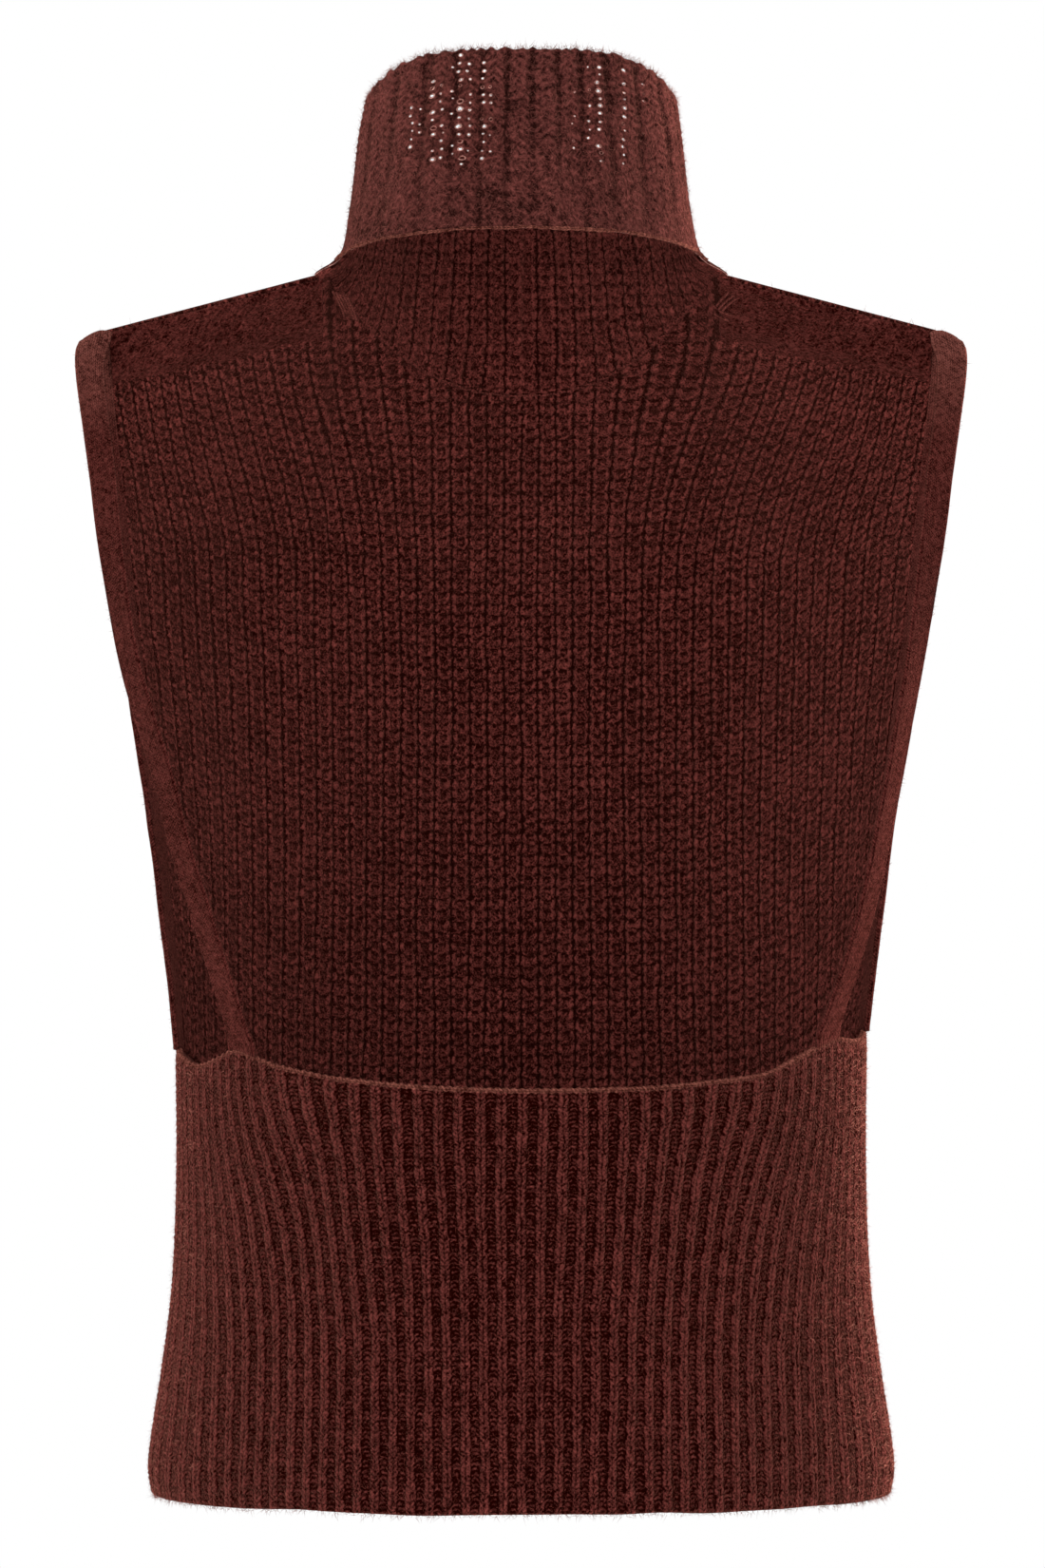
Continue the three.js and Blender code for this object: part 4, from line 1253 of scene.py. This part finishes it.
class CollarGrid:
    """Turns and rises of the collar's grid, bent round its holes, which narrow away from the camera."""

    def __init__(self):
        count = COLLAR_COLUMNS
        self.turns = np.arange(count) * 360 / count - 180
        even = 1 - (1 - np.linspace(0, 1, COLLAR_ROWS + 1)) ** 1.2
        self.rises = np.unique(np.concatenate([even, [0.004, 0.012, 0.9985]]))
        self.wide = np.stack(np.meshgrid(self.turns, self.rises, indexing="ij"))
        self.narrow = self.wide.copy()
        rows = len(self.rises)
        self.open_cell = np.zeros((count, rows - 1), bool)
        self.taken = np.zeros((count, rows), bool)
        self.near_hole = np.zeros((count, rows))
        rng = np.random.default_rng(6)
        for turn, rise, wide, tall in ladder_holes():
            if HOLE_LOWEST < rise < HOLE_HIGHEST:
                self.open_hole(turn, rise, wide, tall, rng)
        is_far = (np.abs(self.turns) > 90)[:, None]
        both = self.wide, self.narrow
        self.wide, self.narrow = np.where(is_far, both[1], both[0]), np.where(is_far, *both)

    def open_hole(self, turn, rise, wide, tall, rng):
        """Opens the cells nearest to a hole and moves their border to its rim, if there is room."""
        count, rows = self.taken.shape
        span = float(collar_top(abs(turn)) - collar_foot(abs(turn)))
        ci = (turn + 180) / 360 * count
        cj = float(np.interp(rise, self.rises, np.arange(rows)))
        cell_high = (self.rises[int(cj) + 1] - self.rises[int(cj)]) * span
        cell_wide = TAU * COLLAR_MEAN_RADIUS / count
        slope = abs(math.cos(math.radians(turn)))
        half_i = max(0.5 * wide / slope / cell_wide, 0.8)
        half_j = max(0.5 * tall / cell_high, 0.8)
        i0, j0 = round(ci - half_i), round(cj - half_j)
        i1, j1 = max(round(ci + half_i), i0 + 2), max(round(cj + half_j), j0 + 2)
        if j0 < 3 or j1 > rows - 3:
            return
        ids = np.arange(i0, i1 + 1) % count
        if self.taken[ids][:, j0 : j1 + 1].any():
            return
        self.taken[ids, j0 : j1 + 1] = True
        self.open_cell[ids[:-1], j0:j1] = True
        for reach, weight in HOLE_FOLLOWERS:
            block = np.arange(i0 - reach, i1 + reach + 1) % count, slice(j0 - reach, j1 + reach + 1)
            self.near_hole[block] = np.maximum(self.near_hole[block], weight)
        half_turn = 0.5 * wide / slope / cell_wide / count * 360
        half_rise = 0.5 * tall / span
        for i in range(i0, i1 + 1):
            for j in range(j0, j1 + 1):
                if i in (i0, i1) or j in (j0, j1):
                    qx, qy = on_round_rim(i, j, i0, i1, j0, j1)
                    step = np.array([qx * half_turn, qy * half_rise])
                    ragged = rng.uniform(0.65, 1.15)
                    self.wide[:, i % count, j] = [turn, rise] + step * HOLE_FUNNEL
                    self.narrow[:, i % count, j] = [turn, rise] + step * ragged * HOLE_NARROW


def pierced_ring(name, outside, inside, uv, lining_uv, open_cell, materials):
    """Closed ring of cloth, with walls round the cells that are open."""
    n, m = outside.shape[:2]
    base = n * m
    faces = Faces()
    layer_faces(faces, 0, (n, m), uv, 0, True, open_cell)
    layer_faces(faces, base, (n, m), lining_uv, -2, True, open_cell)
    index = lambda i, j: (i % n) * m + j
    walls = []
    for j, flip in ((0, False), (m - 1, True)):
        low, high = index(np.arange(n), j), index(np.arange(1, n + 1), j)
        quad = np.stack([high, low, low + base, high + base], -1)
        walls.append(quad[:, ::-1] if flip else quad)
    for i, j in np.argwhere(open_cell):
        sides = (
            (open_cell[(i - 1) % n, j], index(i, j), index(i, j + 1)),
            (open_cell[(i + 1) % n, j], index(i + 1, j + 1), index(i + 1, j)),
            (open_cell[i, j - 1], index(i + 1, j), index(i, j)),
            (open_cell[i, j + 1], index(i, j + 1), index(i + 1, j + 1)),
        )
        walls += [np.array([[q, p, p + base, q + base]]) for is_open, p, q in sides if not is_open]
    walls = np.concatenate(walls)
    flat_uv = np.concatenate([uv[:-1].reshape(-1, 2)] * 2)
    # The walls take the third material, pale pink painted light.
    faces.add(walls, flat_uv[walls], 2)
    points = np.concatenate([outside.reshape(-1, 3), inside.reshape(-1, 3)])
    return add_mesh(name, points, faces, materials)


def through_holes(outside, normals):
    """Steps through the cloth along the camera's rays, so that light shows through the holes."""
    ray = unit(outside - EYE)
    facing = np.einsum("ijk,ijk->ij", normals, ray)
    facing = np.where(np.abs(facing) < 0.3, np.copysign(0.3, facing), facing)
    return ray * (LADDER_THICK / facing)[..., None]


def build_collar():
    grid = CollarGrid()
    a, r = grid.wide
    height = collar_top(np.abs(a)) - collar_foot(np.abs(a))
    tuck = np.where(np.abs(a) > 88, COLLAR_TUCK, 0) / height * (1 - np.clip(r, 0, 1)) ** 8
    surface = collar(a, r - tuck)
    normals = grid_normals(collar(*np.meshgrid(grid.turns, grid.rises, indexing="ij")), True)
    normals = unit(normals * [1, 1, 0.3])
    closed_a = np.concatenate([a, a[:1] + 360])
    closed_height = np.concatenate([surface, surface[:1]])[..., 2]
    uv = collar_stitches(closed_a, closed_height)
    lining_uv = collar_lining_stitches(closed_a, closed_height)
    relief = collar_relief(uv[:-1, :, 0], uv[:-1, :, 1])
    lining = loop_relief(lining_uv[:-1, :, 0], lining_uv[:-1, :, 1])
    fold = collar_folds(a, surface[..., 2])
    edge = edge_distance(surface, True)
    round_off = rounding(edge, COLLAR_THICK)
    calm = smooth(edge, 0.5, 4)
    raised = normals * ((relief * COLLAR_HEIGHT - COLLAR_SINK) * calm + fold - round_off)[..., None]
    sunk = fold - COLLAR_THICK - (lining * LINING_HEIGHT - LINING_SINK) * calm + round_off
    outside, inside = surface + raised, surface + normals * sunk[..., None]
    narrow_a, narrow_r = grid.narrow
    through = collar(narrow_a, narrow_r - tuck) + raised - through_holes(outside, normals)
    inside = inside + (through - inside) * grid.near_hole[..., None]
    bent = uv[:-1, :, 0] + 0.3 * drift(a, 11, 35)
    loops = (0.5 + 0.5 * np.cos(bent * TAU * 2)) * (0.15 + 1.2 * lattice_noise(a / 5, a * 0, 36))
    scallop = (loops * 1.3 - 0.9 + 0.5 * drift(a, 23, 37)) * smooth(r, 0.95, 1.0)
    outside[..., 2] += scallop
    inside[..., 2] += scallop
    # The third yarn, on the walls, is pale pink painted light.
    yarns = [collar_yarn, lining_yarn, painted_light_wall_yarn]
    piece = pierced_ring("collar_knit", outside, inside, uv, lining_uv, grid.open_cell, yarns)
    return piece, outside, normals


collar_piece, collar_outside, collar_normals = build_collar()


# ---------------------------------------------------------------- shoulder hems

def hem_stitches(across, rise, points):
    v = (1 - rise) * 60 + 0.3 * wander(across * 60, rise * 60, 41)
    return np.stack([across * PANEL_COLUMNS * 1.5, v], -1)


def neck_across():
    """Place across the panel's top edge where the neck ends and the shoulder begins."""
    low, high = 0.0, 1.0
    for _ in range(30):
        middle = (low + high) / 2
        if panel(np.array([middle]), np.array([1.0]))[0, 0] < NECK_HALF_WIDTH:
            low = middle
        else:
            high = middle
    return low


def build_hem(word, side):
    """The brushed hem inside a shoulder, and its lower layer."""
    begin, end = sorted((side * (neck_across() + 0.004), side * 0.996))
    acrosses = steps(begin, end, 130, (0.002,))
    rises = np.unique(np.append(np.linspace(HEM_FOOT, 0.9985, 31), HEM_FOOT + 0.0015))
    upper, lower = (Layer(panel, acrosses, rises, hem_stitches) for _ in range(2))
    a, r = upper.grid
    drape = panel_folds(a, r) - PANEL_THICK
    upper.moved(drape + HEM_OVERLAP - rounding(upper.edge, 1.0))
    lumps = 0.35 * wander(a * 70, r * 70, 42) + 0.25 * wander(a * 160, r * 160, 43)
    depth = HEM_THICK * smooth(r, HEM_FOOT, HEM_RISE + 0.01)
    lower.moved(drape - depth + lumps + rounding(lower.edge, HEM_THICK))
    return cloth(f"shoulder_hem_{word}_knit", upper, lower, [hem_yarn, hem_yarn]), lower


hems, hem_layers = {}, {}
for word, side in SIDES:
    hems[word], hem_layers[word] = build_hem(word, side)


# ---------------------------------------------------------------- armhole bands

def band_stations(side):
    """Centres of a band and the directions across it: up the panel's side, then down the strap."""
    centres, facings = [], []
    rises = CREST_RISE * np.arange(BAND_FRONT_STATIONS + 1) / BAND_FRONT_STATIONS
    near = np.linspace(0.99, 1.0, 3)[:, None] * side * np.ones(len(rises))
    grid = panel(near, rises[None] * np.ones((3, 1)))
    normals = grid_normals(grid, False)[2]
    for start, edge, normal in zip(grid[0], grid[2], normals):
        face = unit(edge - start)
        normal = normal * (1 if (normal[:2] * edge[:2]).sum() > 0 else -1)
        centres.append(edge - normal * PANEL_THICK / 2 + face * (SEAM_GAP + BAND_WIDTH / 2))
        facings.append(face)
    strap = STRAP[side]
    for height, out, back, turn in zip(*(strap[k] for k in ("height", "out", "back", "turn"))):
        angle = math.radians(turn)
        droop = STRAP_DROOP * float(smooth((height - DROOP_FROM) / DROOP_HEIGHT))
        centres.append(np.array([side * out, -back, height]))
        facings.append(unit(np.array([side * math.cos(angle), math.sin(angle), -droop])))
    return centres, facings


def band_frames(side, pitch):
    """Centre, direction across and direction outwards, at an even pitch along a band."""
    centres, facings = band_stations(side)
    fine = np.linspace(0, 1, 4001)
    path, facing = catmull(centres, fine), catmull(facings, fine)
    along = travel(path, 0)
    places = np.linspace(0, along[-1], int(along[-1] / pitch) + 1)
    pick = lambda values: np.stack([np.interp(places, along, values[:, k]) for k in range(3)], -1)
    path, facing = pick(path), pick(facing)
    tangent = unit(np.gradient(path, axis=0))
    facing = unit(facing - tangent * np.einsum("ij,ij->i", facing, tangent)[:, None])
    return path, facing, np.cross(tangent, facing) * side, places


def band_section(points_each_side):
    """Rounded flat section of a band, as (across, out, u) with a raised line along each edge."""
    across = np.linspace(-1, 1, points_each_side)
    reach = np.abs(across)
    line = 0.35 * np.exp(-(((reach - 0.86) / 0.07) ** 2))
    groove = 0.2 * np.exp(-(((reach - 0.72) / 0.06) ** 2))
    out = BAND_THICK / 2 * (1 - reach**6) ** 0.5 + line - groove
    back, under = across[::-1][1:-1], out[::-1][1:-1]
    top = np.stack([across * BAND_WIDTH / 2, out, across], -1)
    return np.concatenate([top, np.stack([back * BAND_WIDTH / 2, -under, 2 - back], -1)])


def seat_on_waistband(ring):
    """Puts a band's end on the waistband's top edge."""
    half_width, half_depth = WAISTBAND["half_width"][-1], WAISTBAND["half_depth"][-1]
    turn = np.degrees(np.arctan2(ring[:, 0] / half_width, np.abs(ring[:, 1]) / half_depth))
    front = front_edge_height(half_width * np.sin(np.radians(turn)))
    ring[:, 2] = np.where(ring[:, 1] > 0, front, back_edge_height(turn)) + SEAT_GAP


def cap_faces(faces, ids, turned):
    """Closes a band's end with faces between the upper and the lower side of its section."""
    half = (len(ids) + 2) // 2
    lower = np.concatenate([[0], np.arange(len(ids) - 1, half - 1, -1), [half - 1]])
    strip = np.stack([np.arange(half - 1), np.arange(1, half), lower[1:], lower[:-1]], -1)
    tips = np.array([strip[0][[0, 1, 2]], strip[-1][[0, 1, 3]]])
    for block in (ids[strip[1:-1]], ids[tips]):
        faces.add(block[:, ::-1] if turned else block, np.zeros((*block.shape, 2)))


def build_band(word, side):
    """An armhole band, with the top side of its rings and its outward directions for the fibres."""
    path, facing, outward, places = band_frames(side, BAND_PITCH)
    section = band_section(13)
    wave = 0.25 * drift(places, 16, 51 + side)
    flare = 1 + FOOT_FLARE * np.exp(-((places[-1] - places) / FOOT_FLARE_LENGTH) ** 2)
    crest = np.exp(-(((places - places[path[:, 2].argmax()]) / CREST_SPREAD) ** 2))
    reach = section[:, 0][None] / (BAND_WIDTH / 2)
    tuck = BAND_TUCK * (1 - smooth(places, *BAND_TUCK_ENDS)) + CREST_TUCK * crest
    across = section[:, 0][None] * flare[:, None] - tuck[:, None] * (1 - reach) / 2
    rings = path[:, None] + facing[:, None] * across[..., None]
    rings = rings + outward[:, None] * (section[:, 1][None] + wave[:, None])[..., None]
    outer_drop = CREST_OUTER_DROP * np.clip((reach + 0.2) / 1.2, 0, 1) ** 2.4
    rings[..., 2] -= crest[:, None] * (outer_drop + CREST_INNER_DROP * np.clip((-reach - 0.3) / 0.7, 0, 1))
    seat_on_waistband(rings[0])
    seat_on_waistband(rings[-1])
    count, sides = rings.shape[:2]
    around = np.append(section[:, 2], 3.0) * 3.5
    faces = Faces()
    ring_faces(faces, 0, count, sides, lambda i, k: np.stack([around[k], places[i] / 1.35], -1))
    cap_faces(faces, np.arange(sides), True)
    cap_faces(faces, (count - 1) * sides + np.arange(sides), False)
    piece = add_mesh(f"armhole_band_{word}_knit", rings.reshape(-1, 3), faces, [band_yarn])
    top = sides // 2 + 1
    return piece, (rings[:, :top], np.repeat(outward[:, None], top, 1))


bands, band_tops = {}, {}
for word, side in SIDES:
    bands[word], band_tops[word] = build_band(word, side)


# ---------------------------------------------------------------- edges and seams

def edge_line(turns, surface, inset, lift):
    """Points along a cloth's edge, drawn in to the middle of its thickness."""
    points = surface(*np.meshgrid(turns, [1.0, 0.99], indexing="ij"))
    level = unit(grid_normals(points, False)[:, 0] * [1, 1, 0])
    return points[:, 0] - level * inset + [0, 0, lift]


def collar_from_foot(turn, rise):
    return collar(turn, 1 - rise)


def cord(name, line, width, twist, material, sides=8, sway=None):
    """Twisted cord along a line.

    width is a size, its unevenness, the length of its lumps and a seed; sway, the same for its height.
    """
    along = travel(line, 0)
    if sway is not None:
        line[:, 2] += sway[0] * drift(along, *sway[1:])
    thick, uneven, *lumps = width
    return tubes(name, [line], thick + uneven * drift(along, *lumps), material, sides, along / twist)


bind_off = cord(
    "waistband_bind_off",
    edge_line(np.linspace(-SEAM_TURN + 0.6, SEAM_TURN - 0.6, 620), back_waistband, 1.5, 0.0),
    (2.5, 0.3, 7, 61), 3.4, edge_yarn, sides=9,
)
rolled_edge = cord(
    "collar_rolled_edge", edge_line(np.linspace(-87, 87, 420), collar_from_foot, 0.9, 0.2),
    (1.5, 0.5, 9, 63), 5, edge_yarn, sway=(0.5, 14, 62),
)
neck_seam = cord(
    "neck_seam", edge_line(np.linspace(91, 269, 240), collar_from_foot, COLLAR_THICK / 2, -0.4),
    (3.1, 0.3, 5, 64), 6, lining_yarn,
)


def strand(layer, start, end, bow, lift=0.5, count=12):
    """Points of a short strand lying on a hem, between two places given in its own x and height."""
    points, normals = layer.points.reshape(-1, 3), layer.normals.reshape(-1, 3)
    line = []
    for t in np.linspace(0, 1, count):
        arch = math.sin(math.pi * t)
        x, height = np.asarray(start) + (np.asarray(end) - start) * t + np.array([bow, 0]) * arch
        near = np.argmin((points[:, 0] - x) ** 2 + (points[:, 2] - height) ** 2)
        line.append(np.array([x, points[near, 1], height]) - normals[near] * lift * arch**0.5)
    return np.array(line)


END_STRANDS = {
    # start and end as x and height, then how far the strand bows to the side
    "left": [
        ((-81.4 + 1.5 * k, 518.5 - 0.5 * k), (-76.6 + 1.3 * k, 508.6 - 0.4 * k), 0.4) for k in range(5)
    ],
    "right": [
        ((85.6, 511.2), (91.8, 516.8), -0.8), ((87.0, 510.4), (93.4, 515.8), -0.8),
        ((84.6, 512.6), (89.8, 518.2), -0.5), ((83.8, 509.6), (90.0, 506.6), 0.0),
        ((85.6, 510.9), (91.2, 508.6), 0.4),
    ],
}
hem_ends = {}
for word, strands in END_STRANDS.items():
    lines = [strand(hem_layers[word], *places) for places in strands]
    hem_ends[word] = tubes(f"hem_end_stitches_{word}", lines, 1.15, pale_yarn, sides=6)


# ---------------------------------------------------------------- loose fibres

def grid_places(points, normals, seed, count):
    """Random places on a grid, even by its steps."""
    rng = np.random.default_rng(seed)
    i = rng.integers(0, points.shape[0], count)
    j = rng.integers(0, points.shape[1], count)
    return points[i, j], normals[i, j]


def along_edge(line, outward, seed, count, spread=0.6):
    """Random places by a line of points, with the direction in which fibres stand there."""
    rng = np.random.default_rng(seed)
    pick = rng.integers(0, len(line), count)
    lean = unit(outward[pick] + rng.normal(0, 0.35, (count, 3)))
    return line[pick] + rng.normal(0, spread, (count, 3)), lean


def along_hem(layer, seed, count):
    """Places by a waistband's hem, where fibres stand outwards and down."""
    line = layer.points[:, 0]
    return along_edge(line, unit(line * [1, 1, 0]) * 0.7 - [0, 0, 0.6], seed, count)


def joined(*pairs):
    return [np.concatenate(parts) for parts in zip(*pairs)]


def rim_light_weight(layer, start):
    """Paler fibres that paint the rim light lie thickest by the side seams, most of all at the right, where
    the light is stronger.
    """
    turn = layer.params[0][:, None]
    return smooth(np.abs(turn), start, 86) * np.where(turn > 0, 1.7, 1.0) * np.ones(layer.shape)


waist_fuzz = fuzz(
    "waistband_fuzz", *joined(open_places(back_layer, 71, 14000), along_hem(back_layer, 79, 1400)),
    dark_fibre, 72, length=(1.5, 4.0),
)
front_waist_fuzz = fuzz(
    "front_waistband_fuzz",
    *joined(open_places(front_waist_layer, 81, 6500), along_hem(front_waist_layer, 82, 1200)),
    dark_fibre, 83, length=(1.5, 4.0),
)
# Paler fibres by the side seams: painted rim light.
places, normals = joined(
    open_places(back_layer, 88, 8000, rim_light_weight(back_layer, 46)),
    open_places(front_waist_layer, 89, 4500, rim_light_weight(front_waist_layer, 60)),
)
rim_light_fuzz = fuzz(
    "waistband_rim_light_fuzz", places, normals, painted_rim_light_fibre, 90, length=(1.2, 3.2), lift=(0.1, 0.6), width=0.2,
)
places, normals = open_places(panel_inner, 73, 22000)
panel_fuzz = fuzz("panel_inside_fuzz", places, -normals, dark_fibre, 74, length=(1.4, 3.4))
places, normals = open_places(panel_outer, 84, 5000)
panel_outside_fuzz = fuzz("panel_outside_fuzz", places, normals, dark_fibre, 85, length=(1.5, 4.0))
places, normals = joined(
    grid_places(collar_outside, collar_normals, 75, 17000),
    along_edge(collar_outside[:, -1], collar_normals[:, -1] * 0.9 + [0, 0, 0.5], 78, 2600),
)
collar_fuzz = fuzz("collar_fuzz", places, normals, pale_fibre, 76, length=(1.6, 4.0), lift=(0.05, 0.7))
band_fuzz = {}
for word, tops in band_tops.items():
    places, normals = grid_places(*tops, 86, 2200)
    band_fuzz[word] = fuzz(f"armhole_band_{word}_fuzz", places, normals, dark_fibre, 87, length=(1.0, 2.4))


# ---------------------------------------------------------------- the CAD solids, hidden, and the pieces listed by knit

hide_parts("back_waistband")
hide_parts("front_waistband")
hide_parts("front_panel")
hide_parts("collar")
for word, _ in SIDES:
    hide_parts(f"shoulder_hem_{word}")
    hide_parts(f"armhole_band_{word}")
for slot, pieces in (
    ("rib_knit", (back_waist, front_waist, bind_off, waist_fuzz, front_waist_fuzz, rim_light_fuzz)),
    ("body_knit", (front, *hems.values(), *hem_ends.values(), panel_fuzz, panel_outside_fuzz)),
    ("collar_knit", (collar_piece, rolled_edge, neck_seam, collar_fuzz)),
    ("band_knit", (*bands.values(), *band_fuzz.values())),
):
    for piece in pieces:
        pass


# ---------------------------------------------------------------- floor, light and camera

def add_floor():
    line = np.linspace(-FLOOR_SPAN, FLOOR_SPAN, FLOOR_ROWS + 1)
    x, y = np.meshgrid(line, line, indexing="ij")
    points = np.stack([x, y, np.full_like(x, FLOOR_LEVEL)], -1).reshape(-1, 3)
    at = lambda i, j: i * (FLOOR_ROWS + 1) + j
    quads = [
        (at(i, j), at(i + 1, j), at(i + 1, j + 1), at(i, j + 1))
        for i in range(FLOOR_ROWS) for j in range(FLOOR_ROWS)
    ]
    mesh = bpy.data.meshes.new("studio_floor")
    mesh.from_pydata(points.tolist(), [], quads)
    material, tree, shader = material_with("studio_floor")
    tone = noise_node(tree, object_place(tree), 3.0)
    fill(tree, shader, {"Base Color": mixed(tree, tone, (0.80,) * 3, (0.84,) * 3), "Roughness": 0.9})
    mesh.materials.append(material)
    floor = bpy.data.objects.new("studio_floor", mesh)
    bpy.context.scene.collection.objects.link(floor)
    floor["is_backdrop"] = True


def add_light(name, place, aim, size, watts, colour=(1, 1, 1)):
    data = bpy.data.lights.new(name, "AREA")
    data.shape = "RECTANGLE"
    data.size, data.size_y = size
    data.energy = watts
    data.color = colour
    light = bpy.data.objects.new(name, data)
    light.location = place
    light.rotation_mode = "QUATERNION"
    light.rotation_quaternion = (Vector(aim) - Vector(place)).to_track_quat("-Z", "Y")
    bpy.context.scene.collection.objects.link(light)


add_floor()
world = bpy.data.worlds.new("studio")
world.use_nodes = True
world.node_tree.nodes["Background"].inputs[0].default_value = (1, 1, 1, 1)
world.node_tree.nodes["Background"].inputs[1].default_value = 1.0
bpy.context.scene.world = world
add_light("key", (-0.4, -2.4, 0.9), (0, 0, -0.25), (1.6, 1.6), 15)
add_light("overhead", (0, -0.4, 1.5), (0, 0, -0.1), (1.6, 1.0), 5)
add_light("side_right", (1.5, 1.2, -0.25), (0, 0, -0.3), (0.6, 1.6), 120, (1, 0.94, 0.88))
add_light("side_left", (-1.5, 1.2, -0.15), (0, 0, -0.3), (0.6, 1.6), 45)

camera_data = bpy.data.cameras.new("camera")
camera_data.sensor_width = SENSOR
camera_data.lens = SENSOR * -CAMERA_PLACE[1] / FRAME_HIGH
camera = bpy.data.objects.new("camera", camera_data)
camera.location = CAMERA_PLACE
camera.rotation_euler = (math.pi / 2, 0, 0)
bpy.context.scene.collection.objects.link(camera)
bpy.context.scene.camera = camera
bpy.context.scene.view_settings.view_transform = "Standard"

bpy.context.view_layer.update()
boxes = {"cad": [list(corner) for corner in cad_box], "visual": [list(corner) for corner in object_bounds()]}
